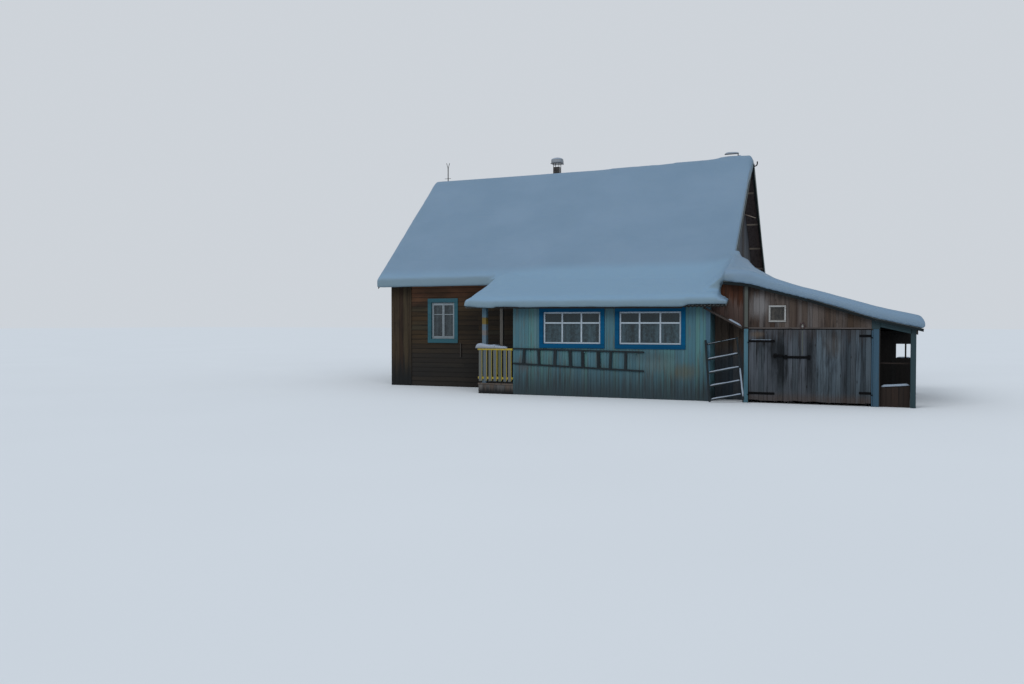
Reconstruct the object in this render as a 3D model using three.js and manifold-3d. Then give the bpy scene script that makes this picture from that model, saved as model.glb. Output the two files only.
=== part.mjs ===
// A village log house in winter: a log block under a steep gable roof, a painted board veranda with a
// small porch in front, and a board shed with a double gate against the right gable. Thick snow lies on
// every roof. Millimetres, +Z up, the long front faces -Y.
//
// The pieces are drawn in site coordinates: x = 0 midway between the outermost snow edges, y = 0 on the
// outer face of the veranda's front wall, z = 0 on the ground. The last lines centre the depth.
import * as THREE from "three";
import { mergeVertices } from "three/addons/utils/BufferGeometryUtils.js";
import Module from "manifold-3d";

const wasm = await Module();
wasm.setup();

// Clearances
const SEAT = 0.3; // between a piece and a sloping or turned face that it rests on
const HINGE_GAP = 7; // between the boards of a gate leaf and its post
const LEAF_GAP = 10; // between the two gate leaves

// Log block
const HOUSE = { x0: -7590, x1: 2900, y0: 1980, y1: 9070, wall: 200 };
const LOG_TOP = 3500;
const FLOOR_Z = 450;
const BOARD = 50;

// Main roof: the eave is the lower outer edge of the roof slab
const MAIN = { x0: -7870, x1: 3300, out: 400, eaveZ: 3200, slope: 0.909, thick: 80 };
const RIDGE_Y = (HOUSE.y0 + HOUSE.y1) / 2;
const MAIN_EAVE_Y = HOUSE.y0 - MAIN.out;

// Veranda and its roof; the eave row of sheets reaches further right than the rest
const VERANDA = { x0: -2516, x1: 2950, wall: 100, floorZ: 300 };
const VERANDA_ROOF = {
  x0: -3840, x1: 3150, eaveRowX1: 3400, eaveRowY1: 60,
  eaveY: -350, eaveZ: 2400, slope: 0.378, thick: 60,
};
const PORCH = {
  x0: -3590, postX: -3490, post: 150, backPost: 100, backPostY: 1252, beamZ: 2430, railZ: 1290,
};

// Shed against the right gable, with an open bay at its right end
const SHED = {
  x0: 3285, x1: 7870, y0: -160, y1: 5160, thick: 60,
  flatZ: 3000, bendX: 3900, breakX: 6840, slope: 0.322, baySlope: 0.236,
};
const SHED_BACK_Y = 5000;
const LEFT_POST = { x0: 3755, x1: 3905, deep: 150 };
const RIGHT_POST = { x0: 6750, x1: 6940, deep: 190 };
const BAY_POST = { x0: 7600, x1: 7720, deep: 120 };
const GATE = { z0: 60, z1: 1840, board: 35, ledge: 30, splitX: 4736 };
const LINTEL_Z = 1860;

// Snow
const SNOW = { main: 262, veranda: 270, shed: 235, lip: 40 };

// Square chimney stack through the back slope just behind the ridge, with a sheet cap on four legs
const STACK = { x: -3430, y: RIDGE_Y + 675, side: 220, wall: 20, top: 7450 };
const CAP = { side: 370, z: 7560, thick: 12 };

const colours = {
  log: [0x4a3626, 0.9],
  greyBoard: [0x6b6259, 0.92],
  darkBoard: [0x2f2824, 0.93],
  redBoard: [0x553626, 0.92],
  turquoise: [0x4f8f93, 0.8],
  blue: [0x0f6fb0, 0.55],
  teal: [0x3f9bb0, 0.6],
  white: [0xdfe6ee, 0.5],
  yellow: [0xc9bb3a, 0.6],
  post: [0x4f93ad, 0.7],
  sheet: [0x6d6f6c, 0.95],
  snow: [0xe8eef6, 0.85],
  glass: [0x56616a, 0.1],
  iron: [0x1d1b19, 0.6],
};

function paint(name) {
  const [color, roughness] = colours[name];
  const metalness = name === "iron" ? 0.7 : 0;
  return new THREE.MeshStandardMaterial({ color, roughness, metalness });
}

// Solids from three.js geometry

function solidOf(geometry) {
  const bare = new THREE.BufferGeometry();
  const loose = geometry.index ? geometry.toNonIndexed() : geometry;
  bare.setAttribute("position", loose.getAttribute("position"));
  const merged = mergeVertices(bare, 1e-3);
  return new wasm.Manifold(
    new wasm.Mesh({
      numProp: 3,
      vertProperties: merged.attributes.position.array,
      triVerts: new Uint32Array(merged.index.array),
    }),
  );
}

function geometryOf(solid) {
  const mesh = solid.getMesh();
  const geometry = new THREE.BufferGeometry();
  geometry.setAttribute("position", new THREE.BufferAttribute(mesh.vertProperties, 3));
  geometry.setIndex(new THREE.BufferAttribute(mesh.triVerts, 1));
  geometry.computeVertexNormals();
  return geometry;
}

function extrusion(outline, depth) {
  const shape = new THREE.Shape(outline.map(([u, v]) => new THREE.Vector2(u, v)));
  return new THREE.ExtrudeGeometry(shape, { depth, bevelEnabled: false, curveSegments: 1 });
}

// An outline in y and z, swept along x
function alongX(outline, [x0, x1]) {
  const place = new THREE.Matrix4().set(0, 0, 1, x0, 1, 0, 0, 0, 0, 1, 0, 0, 0, 0, 0, 1);
  return solidOf(extrusion(outline, x1 - x0).applyMatrix4(place));
}

// An outline in x and z, swept along y
function alongY(outline, [y0, y1]) {
  const place = new THREE.Matrix4().set(1, 0, 0, 0, 0, 0, -1, y1, 0, 1, 0, 0, 0, 0, 0, 1);
  return solidOf(extrusion(outline, y1 - y0).applyMatrix4(place));
}

function block([x0, x1], [y0, y1], [z0, z1]) {
  const box = new THREE.BoxGeometry(x1 - x0, y1 - y0, z1 - z0);
  return solidOf(box.translate((x0 + x1) / 2, (y0 + y1) / 2, (z0 + z1) / 2));
}

function upright(radius, [z0, z1], sides = 24, topRadius = radius) {
  const tube = new THREE.CylinderGeometry(topRadius, radius, z1 - z0, sides);
  return solidOf(tube.rotateX(Math.PI / 2).translate(0, 0, (z0 + z1) / 2));
}

// The two ends of a length about its middle
function about(middle, length) {
  return [middle - length / 2, middle + length / 2];
}

// A straight bar of rectangular section between two points of the x-z plane
function barXZ([xa, za], [xb, zb], high, [y0, y1]) {
  const length = Math.hypot(xb - xa, zb - za);
  const bar = new THREE.BoxGeometry(length, y1 - y0, high);
  bar.rotateY(-Math.atan2(zb - za, xb - xa));
  return solidOf(bar.translate((xa + xb) / 2, (y0 + y1) / 2, (za + zb) / 2));
}

// The flat end of a loft, its triangles turned the way the loop runs
function loftEnd(loop, axis) {
  const outline = loop.map((point) => new THREE.Vector2(...point.filter((_, i) => i !== axis)));
  const turn = Math.sign(THREE.ShapeUtils.area(outline));
  const isTurned = (face) => Math.sign(THREE.ShapeUtils.area(face.map((i) => outline[i]))) === turn;
  const faces = THREE.ShapeUtils.triangulateShape([...outline], []);
  return faces.map((face) => (isTurned(face) ? face : face.reverse()));
}

// A solid skin through closed loops of equally many points, with flat ends across the given axis
function loft(loops, axis) {
  const count = loops[0].length;
  const faces = [];
  for (let k = 0; k + 1 < loops.length; k += 1) {
    for (let i = 0; i < count; i += 1) {
      const a = k * count + i;
      const b = k * count + ((i + 1) % count);
      faces.push(a, b, b + count, a, b + count, a + count);
    }
  }
  const last = (loops.length - 1) * count;
  loftEnd(loops[0], axis).forEach(([a, b, c]) => faces.push(c, b, a));
  loftEnd(loops[loops.length - 1], axis).forEach((face) => faces.push(...face.map((i) => last + i)));
  const geometry = new THREE.BufferGeometry();
  geometry.setAttribute("position", new THREE.Float32BufferAttribute(loops.flat(2), 3));
  geometry.setIndex(faces);
  const solid = solidOf(geometry);
  return solid.volume() > 0 ? solid : solidOf(geometry.setIndex(faces.reverse()));
}

const joined = (first, ...rest) => rest.reduce((a, b) => a.add(b), first);
const less = (body, ...tools) => tools.reduce((a, b) => a.subtract(b), body);

function piece(name, solid, paintName) {
  const made = new THREE.Mesh(geometryOf(solid), paint(paintName));
  made.name = name;
  return made;
}

function groupAt([x, y, z], ...members) {
  const group = new THREE.Group();
  group.position.set(x, y, z);
  group.add(...members);
  return group;
}

// Roof planes

const mainUnder = (y) => MAIN.eaveZ + MAIN.slope * (Math.min(y, 2 * RIDGE_Y - y) - MAIN_EAVE_Y);
const mainTop = (y) => mainUnder(y) + MAIN.thick;
const verandaUnder = (y) => VERANDA_ROOF.eaveZ + VERANDA_ROOF.slope * (y - VERANDA_ROOF.eaveY);
const verandaTop = (y) => verandaUnder(y) + VERANDA_ROOF.thick;

function shedUnder(x) {
  if (x <= SHED.bendX) return SHED.flatZ;
  const atBreak = SHED.flatZ - SHED.slope * (SHED.breakX - SHED.bendX);
  if (x <= SHED.breakX) return SHED.flatZ - SHED.slope * (x - SHED.bendX);
  return atBreak - SHED.baySlope * (x - SHED.breakX);
}
const shedTop = (x) => shedUnder(x) + SHED.thick;

// Windows: the local origin is the middle of the opening on the wall's outer face, +y goes inwards

const CASING = { board: 110, proud: 25 };
const SASH = { frame: 55, bar: 28, deep: 45, setBack: 15 };

function ring(width, height, board, depth) {
  const outer = block(about(0, width + 2 * board), depth, about(0, height + 2 * board));
  return less(outer, block(about(0, width), [depth[0] - 1, depth[1] + 1], about(0, height)));
}

function casing(width, height) {
  return ring(width, height, CASING.board, [-CASING.proud, -SEAT]);
}

// A sash with upright bars at the given shares of its width and one cross bar
function sash(width, height, uprights, crossShare) {
  const w = width - 2 * SEAT;
  const h = height - 2 * SEAT;
  const deep = [SASH.setBack, SASH.setBack + SASH.deep];
  const frame = ring(w - 2 * SASH.frame, h - 2 * SASH.frame, SASH.frame, deep);
  const posts = uprights.map((share) => {
    const x = -w / 2 + share * w;
    return block([x - SASH.bar / 2, x + SASH.bar / 2], deep, [-h / 2 + 1, h / 2 - 1]);
  });
  const crossZ = -h / 2 + crossShare * h;
  const cross = block([-w / 2 + 1, w / 2 - 1], deep, [crossZ - SASH.bar / 2, crossZ + SASH.bar / 2]);
  return joined(frame, cross, ...posts);
}

function pane(width, height) {
  const y = SASH.setBack + SASH.deep + SEAT;
  return block(about(0, width - 2 * SEAT), [y, y + 4], about(0, height - 2 * SEAT));
}

function openingIn(wall, { x, z, width, height }) {
  const depth = [HOUSE.wall * -2, HOUSE.wall * 2];
  return block(about(x, width), depth, about(z, height)).translate([0, wall, 0]);
}

const FRONT_WINDOW = { x: -5740, z: 2078, width: 813, height: 1155 };
const VERANDA_WINDOWS = [
  { name: "left", x: -792, z: 1872, width: 1650, height: 885 },
  { name: "right", x: 1358, z: 1872, width: 1655, height: 885 },
];
const BACK_WINDOWS = [
  { name: "left", x: -5000 },
  { name: "right", x: 500 },
].map((w) => ({ ...FRONT_WINDOW, ...w }));
const SIDE_WINDOWS = [
  { name: "front", y: RIDGE_Y - 1600 },
  { name: "back", y: RIDGE_Y + 1600 },
];
const INNER_DOOR = { x: 825, z: FLOOR_Z + 950, width: 850, height: 1900 };
const PORCH_DOOR = { y: 1000, width: 800, z0: VERANDA.floorZ, z1: 2200, thick: 40 };

// The log block

function longLogWall(front) {
  const [y0, y1] = front ? [HOUSE.y0, HOUSE.y0 + HOUSE.wall] : [HOUSE.y1 - HOUSE.wall, HOUSE.y1];
  const wall = alongX(
    [[y0, 0], [y1, 0], [y1, mainUnder(y1) - SEAT], [y0, mainUnder(y0) - SEAT]],
    [HOUSE.x0, HOUSE.x1],
  );
  const openings = front ? [FRONT_WINDOW, INNER_DOOR] : BACK_WINDOWS;
  return less(wall, ...openings.map((w) => openingIn((y0 + y1) / 2, w)));
}

const insideY = [HOUSE.y0 + HOUSE.wall, HOUSE.y1 - HOUSE.wall];
const insideX = [HOUSE.x0 + HOUSE.wall, HOUSE.x1 - HOUSE.wall];

function leftLogWall() {
  const { z, width, height } = FRONT_WINDOW;
  const lower = block([HOUSE.x0, insideX[0]], insideY, [0, LOG_TOP]);
  const wall = joined(lower, gable([HOUSE.x0, HOUSE.x0 + 40]));
  const holes = SIDE_WINDOWS.map(({ y }) =>
    block([HOUSE.x0 - 1, insideX[0] + 1], about(y, width), about(z, height)),
  );
  return less(wall, ...holes);
}

// The boarded triangle over a side wall, between the long walls
function gable([x0, x1]) {
  const [y0, y1] = insideY;
  const foot = LOG_TOP - 1;
  const rake = [y1, RIDGE_Y, y0].map((y) => [y, mainUnder(y) - SEAT]);
  return alongX([[y0, foot], [y1, foot], ...rake], [x0, x1]);
}

// The room that a square upright rod needs in the snow at the ridge
function rodHole(x, y, rod) {
  const half = rod / 2 + SEAT;
  return block([x - half, x + half], [y - half, y + half], [MAIN.eaveZ, AERIAL.top]);
}

function stackHole(clearance) {
  const wide = STACK.side + 2 * clearance;
  return block(about(STACK.x, wide), about(STACK.y, wide), [LOG_TOP, STACK.top]);
}

const AERIAL = { x: -7385, y: RIDGE_Y + 60, rod: 24, top: 7770 };
const RIDGE_ROD = { x0: 2420, x1: 2850, y: RIDGE_Y + 60, z: 7330, rod: 26 };

function aerial() {
  const half = AERIAL.rod / 2;
  const foot = mainTop(AERIAL.y - half) + SEAT;
  const forkZ = AERIAL.top - 200;
  const fork = [-1, 1].map((side) => barXZ([0, forkZ], [side * 60, AERIAL.top], 14, [-7, 7]));
  const cross = block([-130, 110], [-6, 6], [7210, 7222]);
  return joined(block([-half, half], [-half, half], [foot, forkZ + 20]), cross, ...fork);
}

function mainRoofSlab(front) {
  const far = front ? MAIN_EAVE_Y : 2 * RIDGE_Y - MAIN_EAVE_Y;
  const near = front ? RIDGE_Y - SEAT / 2 : RIDGE_Y + SEAT / 2;
  const ends = [
    [far, mainUnder(far)],
    [near, mainUnder(near)],
    [near, mainTop(near)],
    [far, mainTop(far)],
  ];
  const slab = alongX(front ? ends : ends.reverse(), [MAIN.x0, MAIN.x1]);
  return front ? slab : less(slab, stackHole(SEAT));
}

// How much thicker or thinner the main snow lies at x: tapered at the verges, and heaped at the
// ridge's right end
function mainSnowAt(x) {
  const toVerge = Math.min(x - MAIN.x0, MAIN.x1 - x);
  const taper = toVerge < 0 ? 0.55 : 1;
  const heap = Math.max(0, (x + 2000) / 5000) ** 1.5 * 120;
  return { thick: SNOW.main * taper, heap: toVerge < 0 ? heap * 0.5 : heap };
}

function mainSnowLoop(x) {
  const { thick, heap } = mainSnowAt(x);
  const lip = SNOW.lip;
  const side = (away) => {
    const eave = away < 0 ? MAIN_EAVE_Y : 2 * RIDGE_Y - MAIN_EAVE_Y;
    const z = mainTop(eave) + SEAT;
    return [
      [x, eave, z],
      [x, eave + away * lip, z + thick * 0.35],
      [x, eave + away * lip * 0.5, z + thick * 0.75],
      [x, eave - away * lip, z + thick + lip * 0.2],
      [x, RIDGE_Y + away * 700, mainTop(RIDGE_Y + away * 700) + thick + heap * 0.3],
      [x, RIDGE_Y + away * 180, mainTop(RIDGE_Y + away * 180) + thick + heap],
    ];
  };
  const crown = [x, RIDGE_Y, mainTop(RIDGE_Y) + thick - 40 + heap];
  const seat = [x, RIDGE_Y, mainTop(RIDGE_Y) + SEAT];
  return [...side(-1), crown, ...side(1).reverse(), seat];
}

function mainSnow() {
  const { x0, x1 } = MAIN;
  const xs = [x0 - SNOW.lip, x0 + 60, -2000, 0, 1500, x1 - 300, x1 - 60, x1 + SNOW.lip];
  const blanket = loft(xs.map(mainSnowLoop), 0);
  const aerialHole = rodHole(AERIAL.x, AERIAL.y, AERIAL.rod);
  const rodEndHole = rodHole(RIDGE_ROD.x1 - RIDGE_ROD.rod / 2, RIDGE_ROD.y, RIDGE_ROD.rod);
  return less(blanket, stackHole(SEAT), aerialHole, rodEndHole);
}

function stack() {
  const outer = STACK.side / 2;
  const inner = outer - STACK.wall;
  const foot = mainUnder(STACK.y + outer) - 100;
  const shell = block([-outer, outer], [-outer, outer], [foot, STACK.top]);
  return less(shell, block([-inner, inner], [-inner, inner], [foot - 1, STACK.top + 1]));
}

function capCrown() {
  const corner = (CAP.side / 2) * Math.SQRT2;
  const crown = upright(corner, [CAP.z + CAP.thick - 1, CAP.z + 50], 4, 30);
  return crown.rotate([0, 0, 45]);
}

// The cap over the stack: a shallow pyramid on four flat legs, which stand on the stack's corners
function stackCap() {
  const half = CAP.side / 2;
  const plate = block([-half, half], [-half, half], [CAP.z, CAP.z + CAP.thick]);
  const at = STACK.side / 2 - STACK.wall / 2;
  const legs = [[-at, -at], [at, -at], [at, at], [-at, at]].map(([x, y]) =>
    block([x - 8, x + 8], [y - 8, y + 8], [STACK.top + SEAT, CAP.z + 1]),
  );
  return joined(plate, capCrown(), ...legs);
}

function capSnow() {
  const base = CAP.z + CAP.thick;
  const levels = [[0.97, SEAT], [1, 30], [1.04, 110], [0.98, 175], [0.72, 235], [0.35, 262]];
  const octagon = ([share, rise]) =>
    Array.from({ length: 8 }, (_, k) => {
      const reach = (CAP.side / 2) * share * (k % 2 ? 1.245 : 1.02);
      const turn = (k * Math.PI) / 4;
      return [reach * Math.cos(turn), reach * Math.sin(turn), base + rise];
    });
  const dome = wasm.Manifold.hull(levels.flatMap(octagon));
  return less(dome, capCrown().translate([0, 0, SEAT]));
}

// The rod above the ridge near its right end, bent down at its end onto a foot on the ridge
function ridgeRod() {
  const { x0, x1, y, z, rod } = RIDGE_ROD;
  const foot = mainTop(y - rod / 2) + SEAT;
  const across = block([x0, x1], [-rod / 2, rod / 2], [z, z + rod]);
  return joined(across, block([x1 - rod, x1], [-rod / 2, rod / 2], [foot, z + 1]));
}

// The hook on the right verge at the ridge's end
function vergeHook() {
  const rod = 22;
  const arm = block([SEAT, 130], [-rod / 2, rod / 2], [0, rod]);
  return joined(arm, block([130 - rod, 130], [-rod / 2, rod / 2], [0, 130]));
}

function window(name, at, uprights, crossShare, casingPaint) {
  const { width, height } = at;
  return [
    piece(`${name}_casing`, casing(width, height), casingPaint),
    piece(`${name}_sash`, sash(width, height, uprights, crossShare), "white"),
  ];
}

// A window of an unseen side: casing, sash and pane in one solid, joined by the casing's inner edge
function plainWindow(name) {
  const { width, height } = FRONT_WINDOW;
  const w = width - 2 * SEAT;
  const h = height - 2 * SEAT;
  const clear = [w - 2 * SASH.frame, h - 2 * SASH.frame];
  const reveal = ring(...clear, SASH.frame, [-CASING.proud, SASH.setBack + 1]);
  const stop = ring(...clear, SASH.frame + 2, [-CASING.proud, -SEAT]);
  const glazing = pane(width, height).translate([0, -SEAT - 1, 0]);
  const leaves = sash(width, height, [0.5], 0.67);
  return piece(name, joined(casing(width, height), leaves, reveal, stop, glazing), "teal");
}

function house() {
  const front = groupAt(
    [FRONT_WINDOW.x, HOUSE.y0, FRONT_WINDOW.z],
    ...window("front_window", FRONT_WINDOW, [0.5], 0.67, "teal"),
    piece("front_window_glass", pane(FRONT_WINDOW.width, FRONT_WINDOW.height), "glass"),
  );
  const back = BACK_WINDOWS.map((w) => {
    const group = groupAt([w.x, HOUSE.y1, w.z], plainWindow(`back_window_${w.name}`));
    group.rotation.z = Math.PI;
    return group;
  });
  const side = SIDE_WINDOWS.map((w) => {
    const group = groupAt([HOUSE.x0, w.y, FRONT_WINDOW.z], plainWindow(`side_window_${w.name}`));
    group.rotation.z = -Math.PI / 2;
    return group;
  });
  return groupAt(
    [0, 0, 0],
    piece("log_wall_front", longLogWall(true), "log"),
    piece("log_wall_back", longLogWall(false), "log"),
    piece("log_wall_left", leftLogWall(), "log"),
    piece("log_wall_right", block([insideX[1], HOUSE.x1], insideY, [0, LOG_TOP - 1 - SEAT]), "log"),
    piece("gable_boards_right", gable([HOUSE.x1 - 40, HOUSE.x1]), "greyBoard"),
    piece("house_floor", block(insideX, insideY, [FLOOR_Z - BOARD, FLOOR_Z]), "log"),
    front,
    ...back,
    ...side,
    piece("main_roof_front", mainRoofSlab(true), "sheet"),
    piece("main_roof_back", mainRoofSlab(false), "sheet"),
    piece("snow_main_roof", mainSnow(), "snow"),
    groupAt([AERIAL.x, AERIAL.y, 0], piece("ridge_aerial", aerial(), "iron")),
    groupAt([0, RIDGE_ROD.y, 0], piece("ridge_rod", ridgeRod(), "iron")),
    groupAt([MAIN.x1, RIDGE_Y, mainUnder(RIDGE_Y) + 44], piece("verge_hook", vergeHook(), "iron")),
    groupAt(
      [STACK.x, STACK.y, 0],
      piece("chimney_stack", stack(), "iron"),
      piece("chimney_cap", stackCap(), "iron"),
      piece("snow_chimney_cap", capSnow(), "snow"),
    ),
  );
}

// The veranda

const verandaWallY = [VERANDA.wall, HOUSE.y0];

// The top of a piece that carries the veranda's roof
function verandaSeat(y) {
  return verandaUnder(y) - SEAT;
}

function verandaFront() {
  const { x0, x1, wall } = VERANDA;
  const outline = [[0, 0], [wall, 0], [wall, verandaSeat(wall)], [0, verandaSeat(0)]];
  const holes = VERANDA_WINDOWS.map((w) => openingIn(0, w));
  const pegs = WALL_LADDER.pegX.map((x) => {
    const under = ladderRailZ(x, "top") - WALL_LADDER.rail / 2 - SEAT * 2;
    return block([x - 15, x + 15], [-70, 1], [under - 30, under]);
  });
  return joined(less(alongX(outline, [x0, x1]), ...holes), ...pegs);
}

function verandaSide([x0, x1]) {
  const [y0, y1] = verandaWallY;
  return alongX([[y0, 0], [y1, 0], [y1, verandaSeat(y1)], [y0, verandaSeat(y0)]], [x0, x1]);
}

function doorHole() {
  const { y, width, z0, z1 } = PORCH_DOOR;
  return block([VERANDA.x0 - 1, VERANDA.x0 + VERANDA.wall + 1], about(y, width), [z0, z1]);
}

function porchDoor() {
  const { y, width, z0, z1, thick } = PORCH_DOOR;
  const face = VERANDA.x0 + 20;
  const edge = y + width / 2;
  const leaf = block([face, face + thick], about(y, width - 2 * SEAT), [z0 + SEAT, z1 - SEAT]);
  const handle = block([face - 40, face + 1], [edge - 90, edge - 70], [z0 + 900, z0 + 1050]);
  return joined(leaf, handle);
}

// The roof of the veranda and porch, with the longer row of sheets at its eave
function verandaSlab(under, thick, [x0, x1], rowX1, [y0, y1], rowY1) {
  const outline = (end) => [
    [y0, under(y0)],
    [end, under(end)],
    [end, under(end) + thick],
    [y0, under(y0) + thick],
  ];
  return joined(alongX(outline(y1), [x0, x1]), alongX(outline(rowY1), [x1 - 1, rowX1]));
}

// The veranda's snow at x, from y0 at the eave to y1, seen as a loop in y and z
function verandaSnowLoop(x, y0, y1, thick, rise) {
  const lip = y0 === VERANDA_ROOF.eaveY ? SNOW.lip : 0;
  const foot = verandaTop(y0) + SEAT;
  return [
    [x, y0, foot],
    [x, y0 - lip, foot + thick * 0.35],
    [x, y0 - lip * 0.5, foot + thick * 0.75],
    [x, y0 + 40, verandaTop(y0 + 40) + thick],
    [x, (y0 + y1) / 2, verandaTop((y0 + y1) / 2) + thick + rise * 0.3],
    [x, y1, verandaTop(y1) + thick + rise],
    [x, y1, verandaTop(y1) + SEAT],
  ];
}

function verandaSnow() {
  const { x0, x1, eaveRowX1, eaveRowY1, eaveY } = VERANDA_ROOF;
  const backY = MAIN_EAVE_Y - SNOW.lip - SEAT;
  const full = SNOW.veranda;
  const bands = [
    [x0 - SNOW.lip, 60, 20],
    [x0 + 60, 120, 40],
    [x0 + 220, 200, 60],
    [x0 + 500, full, 60],
    [x1, full, 60],
  ];
  const snowAt = ([x, thick, rise]) => verandaSnowLoop(x, eaveY, backY, thick, rise);
  const blanket = loft(bands.map(snowAt), 0);
  const rowBands = [[x1 - 1, 190], [x1 + 150, 130], [eaveRowX1 + SNOW.lip, 70]];
  const row = loft(rowBands.map(([x, thick]) => verandaSnowLoop(x, eaveY, eaveRowY1, thick, -60)), 0);
  const bridge = loft([x1 - 1, SHED.x0 - 2].map((x) => verandaSnowLoop(x, 600, backY, full, 60)), 0);
  return joined(blanket, row, bridge);
}

const WALL_LADDER = {
  x0: -2500, x1: 1224, topZ: [1290, 1235], lowZ: [875, 735], rail: 62,
  pegX: [-2000, -400, 1000], rungs: 8, firstRung: -2180, pitch: 416,
};

function ladderRailZ(x, which) {
  const [a, b] = which === "top" ? WALL_LADDER.topZ : WALL_LADDER.lowZ;
  return a + ((b - a) * (x - WALL_LADDER.x0)) / (WALL_LADDER.x1 - WALL_LADDER.x0);
}

function wallLadder() {
  const { x0, x1, topZ, lowZ, rail, rungs, firstRung, pitch } = WALL_LADDER;
  const deep = [-50, -SEAT];
  const rails = [topZ, lowZ].map(([a, b]) => barXZ([x0, a], [x1, b], rail, deep));
  const treads = Array.from({ length: rungs }, (_, k) => {
    const x = firstRung + k * pitch;
    return block([x - 45, x + 45], [-40, -10], [ladderRailZ(x, "low"), ladderRailZ(x, "top")]);
  });
  return joined(...rails, ...treads);
}

// One long pane against the inside of the front wall
function verandaGlass() {
  const { z, height } = VERANDA_WINDOWS[0];
  const behind = [VERANDA.wall + SEAT, VERANDA.wall + 5];
  return block([-1750, 2320], behind, [z - height / 2 - 60, z + height / 2 + 60]);
}

function veranda() {
  const windows = VERANDA_WINDOWS.map((w) => {
    const pieces = window(`veranda_window_${w.name}`, w, [1 / 3, 2 / 3], 0.65, "blue");
    return groupAt([w.x, 0, w.z], ...pieces);
  });
  const left = less(verandaSide([VERANDA.x0, VERANDA.x0 + VERANDA.wall]), doorHole());
  const floorX = [VERANDA.x0 + VERANDA.wall, VERANDA.x1 - VERANDA.wall];
  const floor = block(floorX, verandaWallY, [VERANDA.floorZ - BOARD, VERANDA.floorZ]);
  const { x0, x1, eaveRowX1, eaveRowY1, eaveY, thick } = VERANDA_ROOF;
  const roofY = [eaveY, HOUSE.y0 - SEAT];
  const roof = verandaSlab(verandaUnder, thick, [x0, x1], eaveRowX1, roofY, eaveRowY1);
  return groupAt(
    [0, 0, 0],
    piece("veranda_wall_front", verandaFront(), "turquoise"),
    piece("veranda_wall_left", left, "turquoise"),
    piece("veranda_wall_right", verandaSide([VERANDA.x1 - VERANDA.wall, VERANDA.x1]), "turquoise"),
    piece("veranda_floor", floor, "log"),
    piece("porch_door", porchDoor(), "turquoise"),
    piece("veranda_roof", roof, "sheet"),
    piece("snow_veranda_roof", verandaSnow(), "snow"),
    piece("wall_ladder", wallLadder(), "darkBoard"),
    piece("veranda_glass", verandaGlass(), "glass"),
    ...windows,
  );
}

// The porch at the veranda's left end

function porchFloor() {
  const deck = block([PORCH.x0, VERANDA.x0], [0, HOUSE.y0], [VERANDA.floorZ - BOARD, VERANDA.floorZ]);
  const frontSkirt = block([PORCH.x0, VERANDA.x0], [0, 30], [0, VERANDA.floorZ - BOARD + 1]);
  const sideSkirt = block([PORCH.x0, PORCH.x0 + 30], [0, HOUSE.y0], [0, VERANDA.floorZ - BOARD + 1]);
  return joined(deck, frontSkirt, sideSkirt);
}

// A porch post of the given thickness, its middle line in the plane of the front post's
function porchPost(y0, thick, top) {
  const middle = PORCH.postX + PORCH.post / 2;
  const x = [middle - thick / 2, middle + thick / 2];
  const y = [y0, y0 + thick];
  const foot = VERANDA.floorZ;
  return alongX([[y[0], foot], [y[1], foot], [y[1], top(y[1])], [y[0], top(y[0])]], x);
}

function porchBeam() {
  const { wall } = VERANDA;
  const foot = PORCH.beamZ;
  const outline = [[0, foot], [wall, foot], [wall, verandaSeat(wall)], [0, verandaSeat(0)]];
  return alongX(outline, [VERANDA_ROOF.x0 + 40, VERANDA.x0]);
}

const RAILING = { low: 420, rail: 60, slat: 90, pitch: 150, deep: 30 };

// A slatted rail along x, from the local origin; its slats stand before its rails
function railing(length) {
  const { low, rail, slat, pitch, deep } = RAILING;
  const rails = [low, PORCH.railZ - rail].map((z) => block([0, length], [-deep, -SEAT], [z, z + rail]));
  const count = Math.floor((length - slat) / pitch) + 1;
  const start = (length - slat - (count - 1) * pitch) / 2;
  const slats = Array.from({ length: count }, (_, k) => {
    const x = start + k * pitch;
    return block([x, x + slat], [-deep - 22, -deep + 1], [low - 60, PORCH.railZ - 1]);
  });
  return joined(...rails, ...slats);
}

function porch() {
  const side = groupAt(
    [PORCH.postX, PORCH.backPostY + PORCH.backPost, 0],
    piece("porch_railing_side", railing(PORCH.backPostY + PORCH.backPost), "yellow"),
  );
  side.rotation.z = -Math.PI / 2;
  return groupAt(
    [0, 0, 0],
    piece("porch_floor", porchFloor(), "greyBoard"),
    piece("porch_post_front", porchPost(0, PORCH.post, () => PORCH.beamZ), "post"),
    piece("porch_post_back", porchPost(PORCH.backPostY, PORCH.backPost, verandaSeat), "post"),
    piece("porch_beam", porchBeam(), "greyBoard"),
    groupAt([PORCH.x0, 0, 0], piece("porch_railing_front", railing(VERANDA.x0 - PORCH.x0), "yellow")),
    side,
  );
}

// The shed

const bendXs = [SHED.bendX, SHED.breakX];

// The x-z line of the shed roof between two x, with its bends, lifted by a rise
function shedLine(x0, x1, rise = 0) {
  const xs = [x0, ...bendXs.filter((x) => x > x0 && x < x1), x1];
  return xs.map((x) => [x, shedUnder(x) + rise]);
}

function shedRoof() {
  const outline = [...shedLine(SHED.x0, SHED.x1), ...shedLine(SHED.x0, SHED.x1, SHED.thick).reverse()];
  const slab = alongY(outline, [SHED.y0, SHED.y1]);
  const gableX = [HOUSE.x1 + SEAT, SHED.x0 + 1];
  const gableY = [HOUSE.y0 + SEAT, SHED.y1];
  const toGable = block(gableX, gableY, [SHED.flatZ, SHED.flatZ + SHED.thick]);
  return joined(slab, toGable);
}

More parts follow.
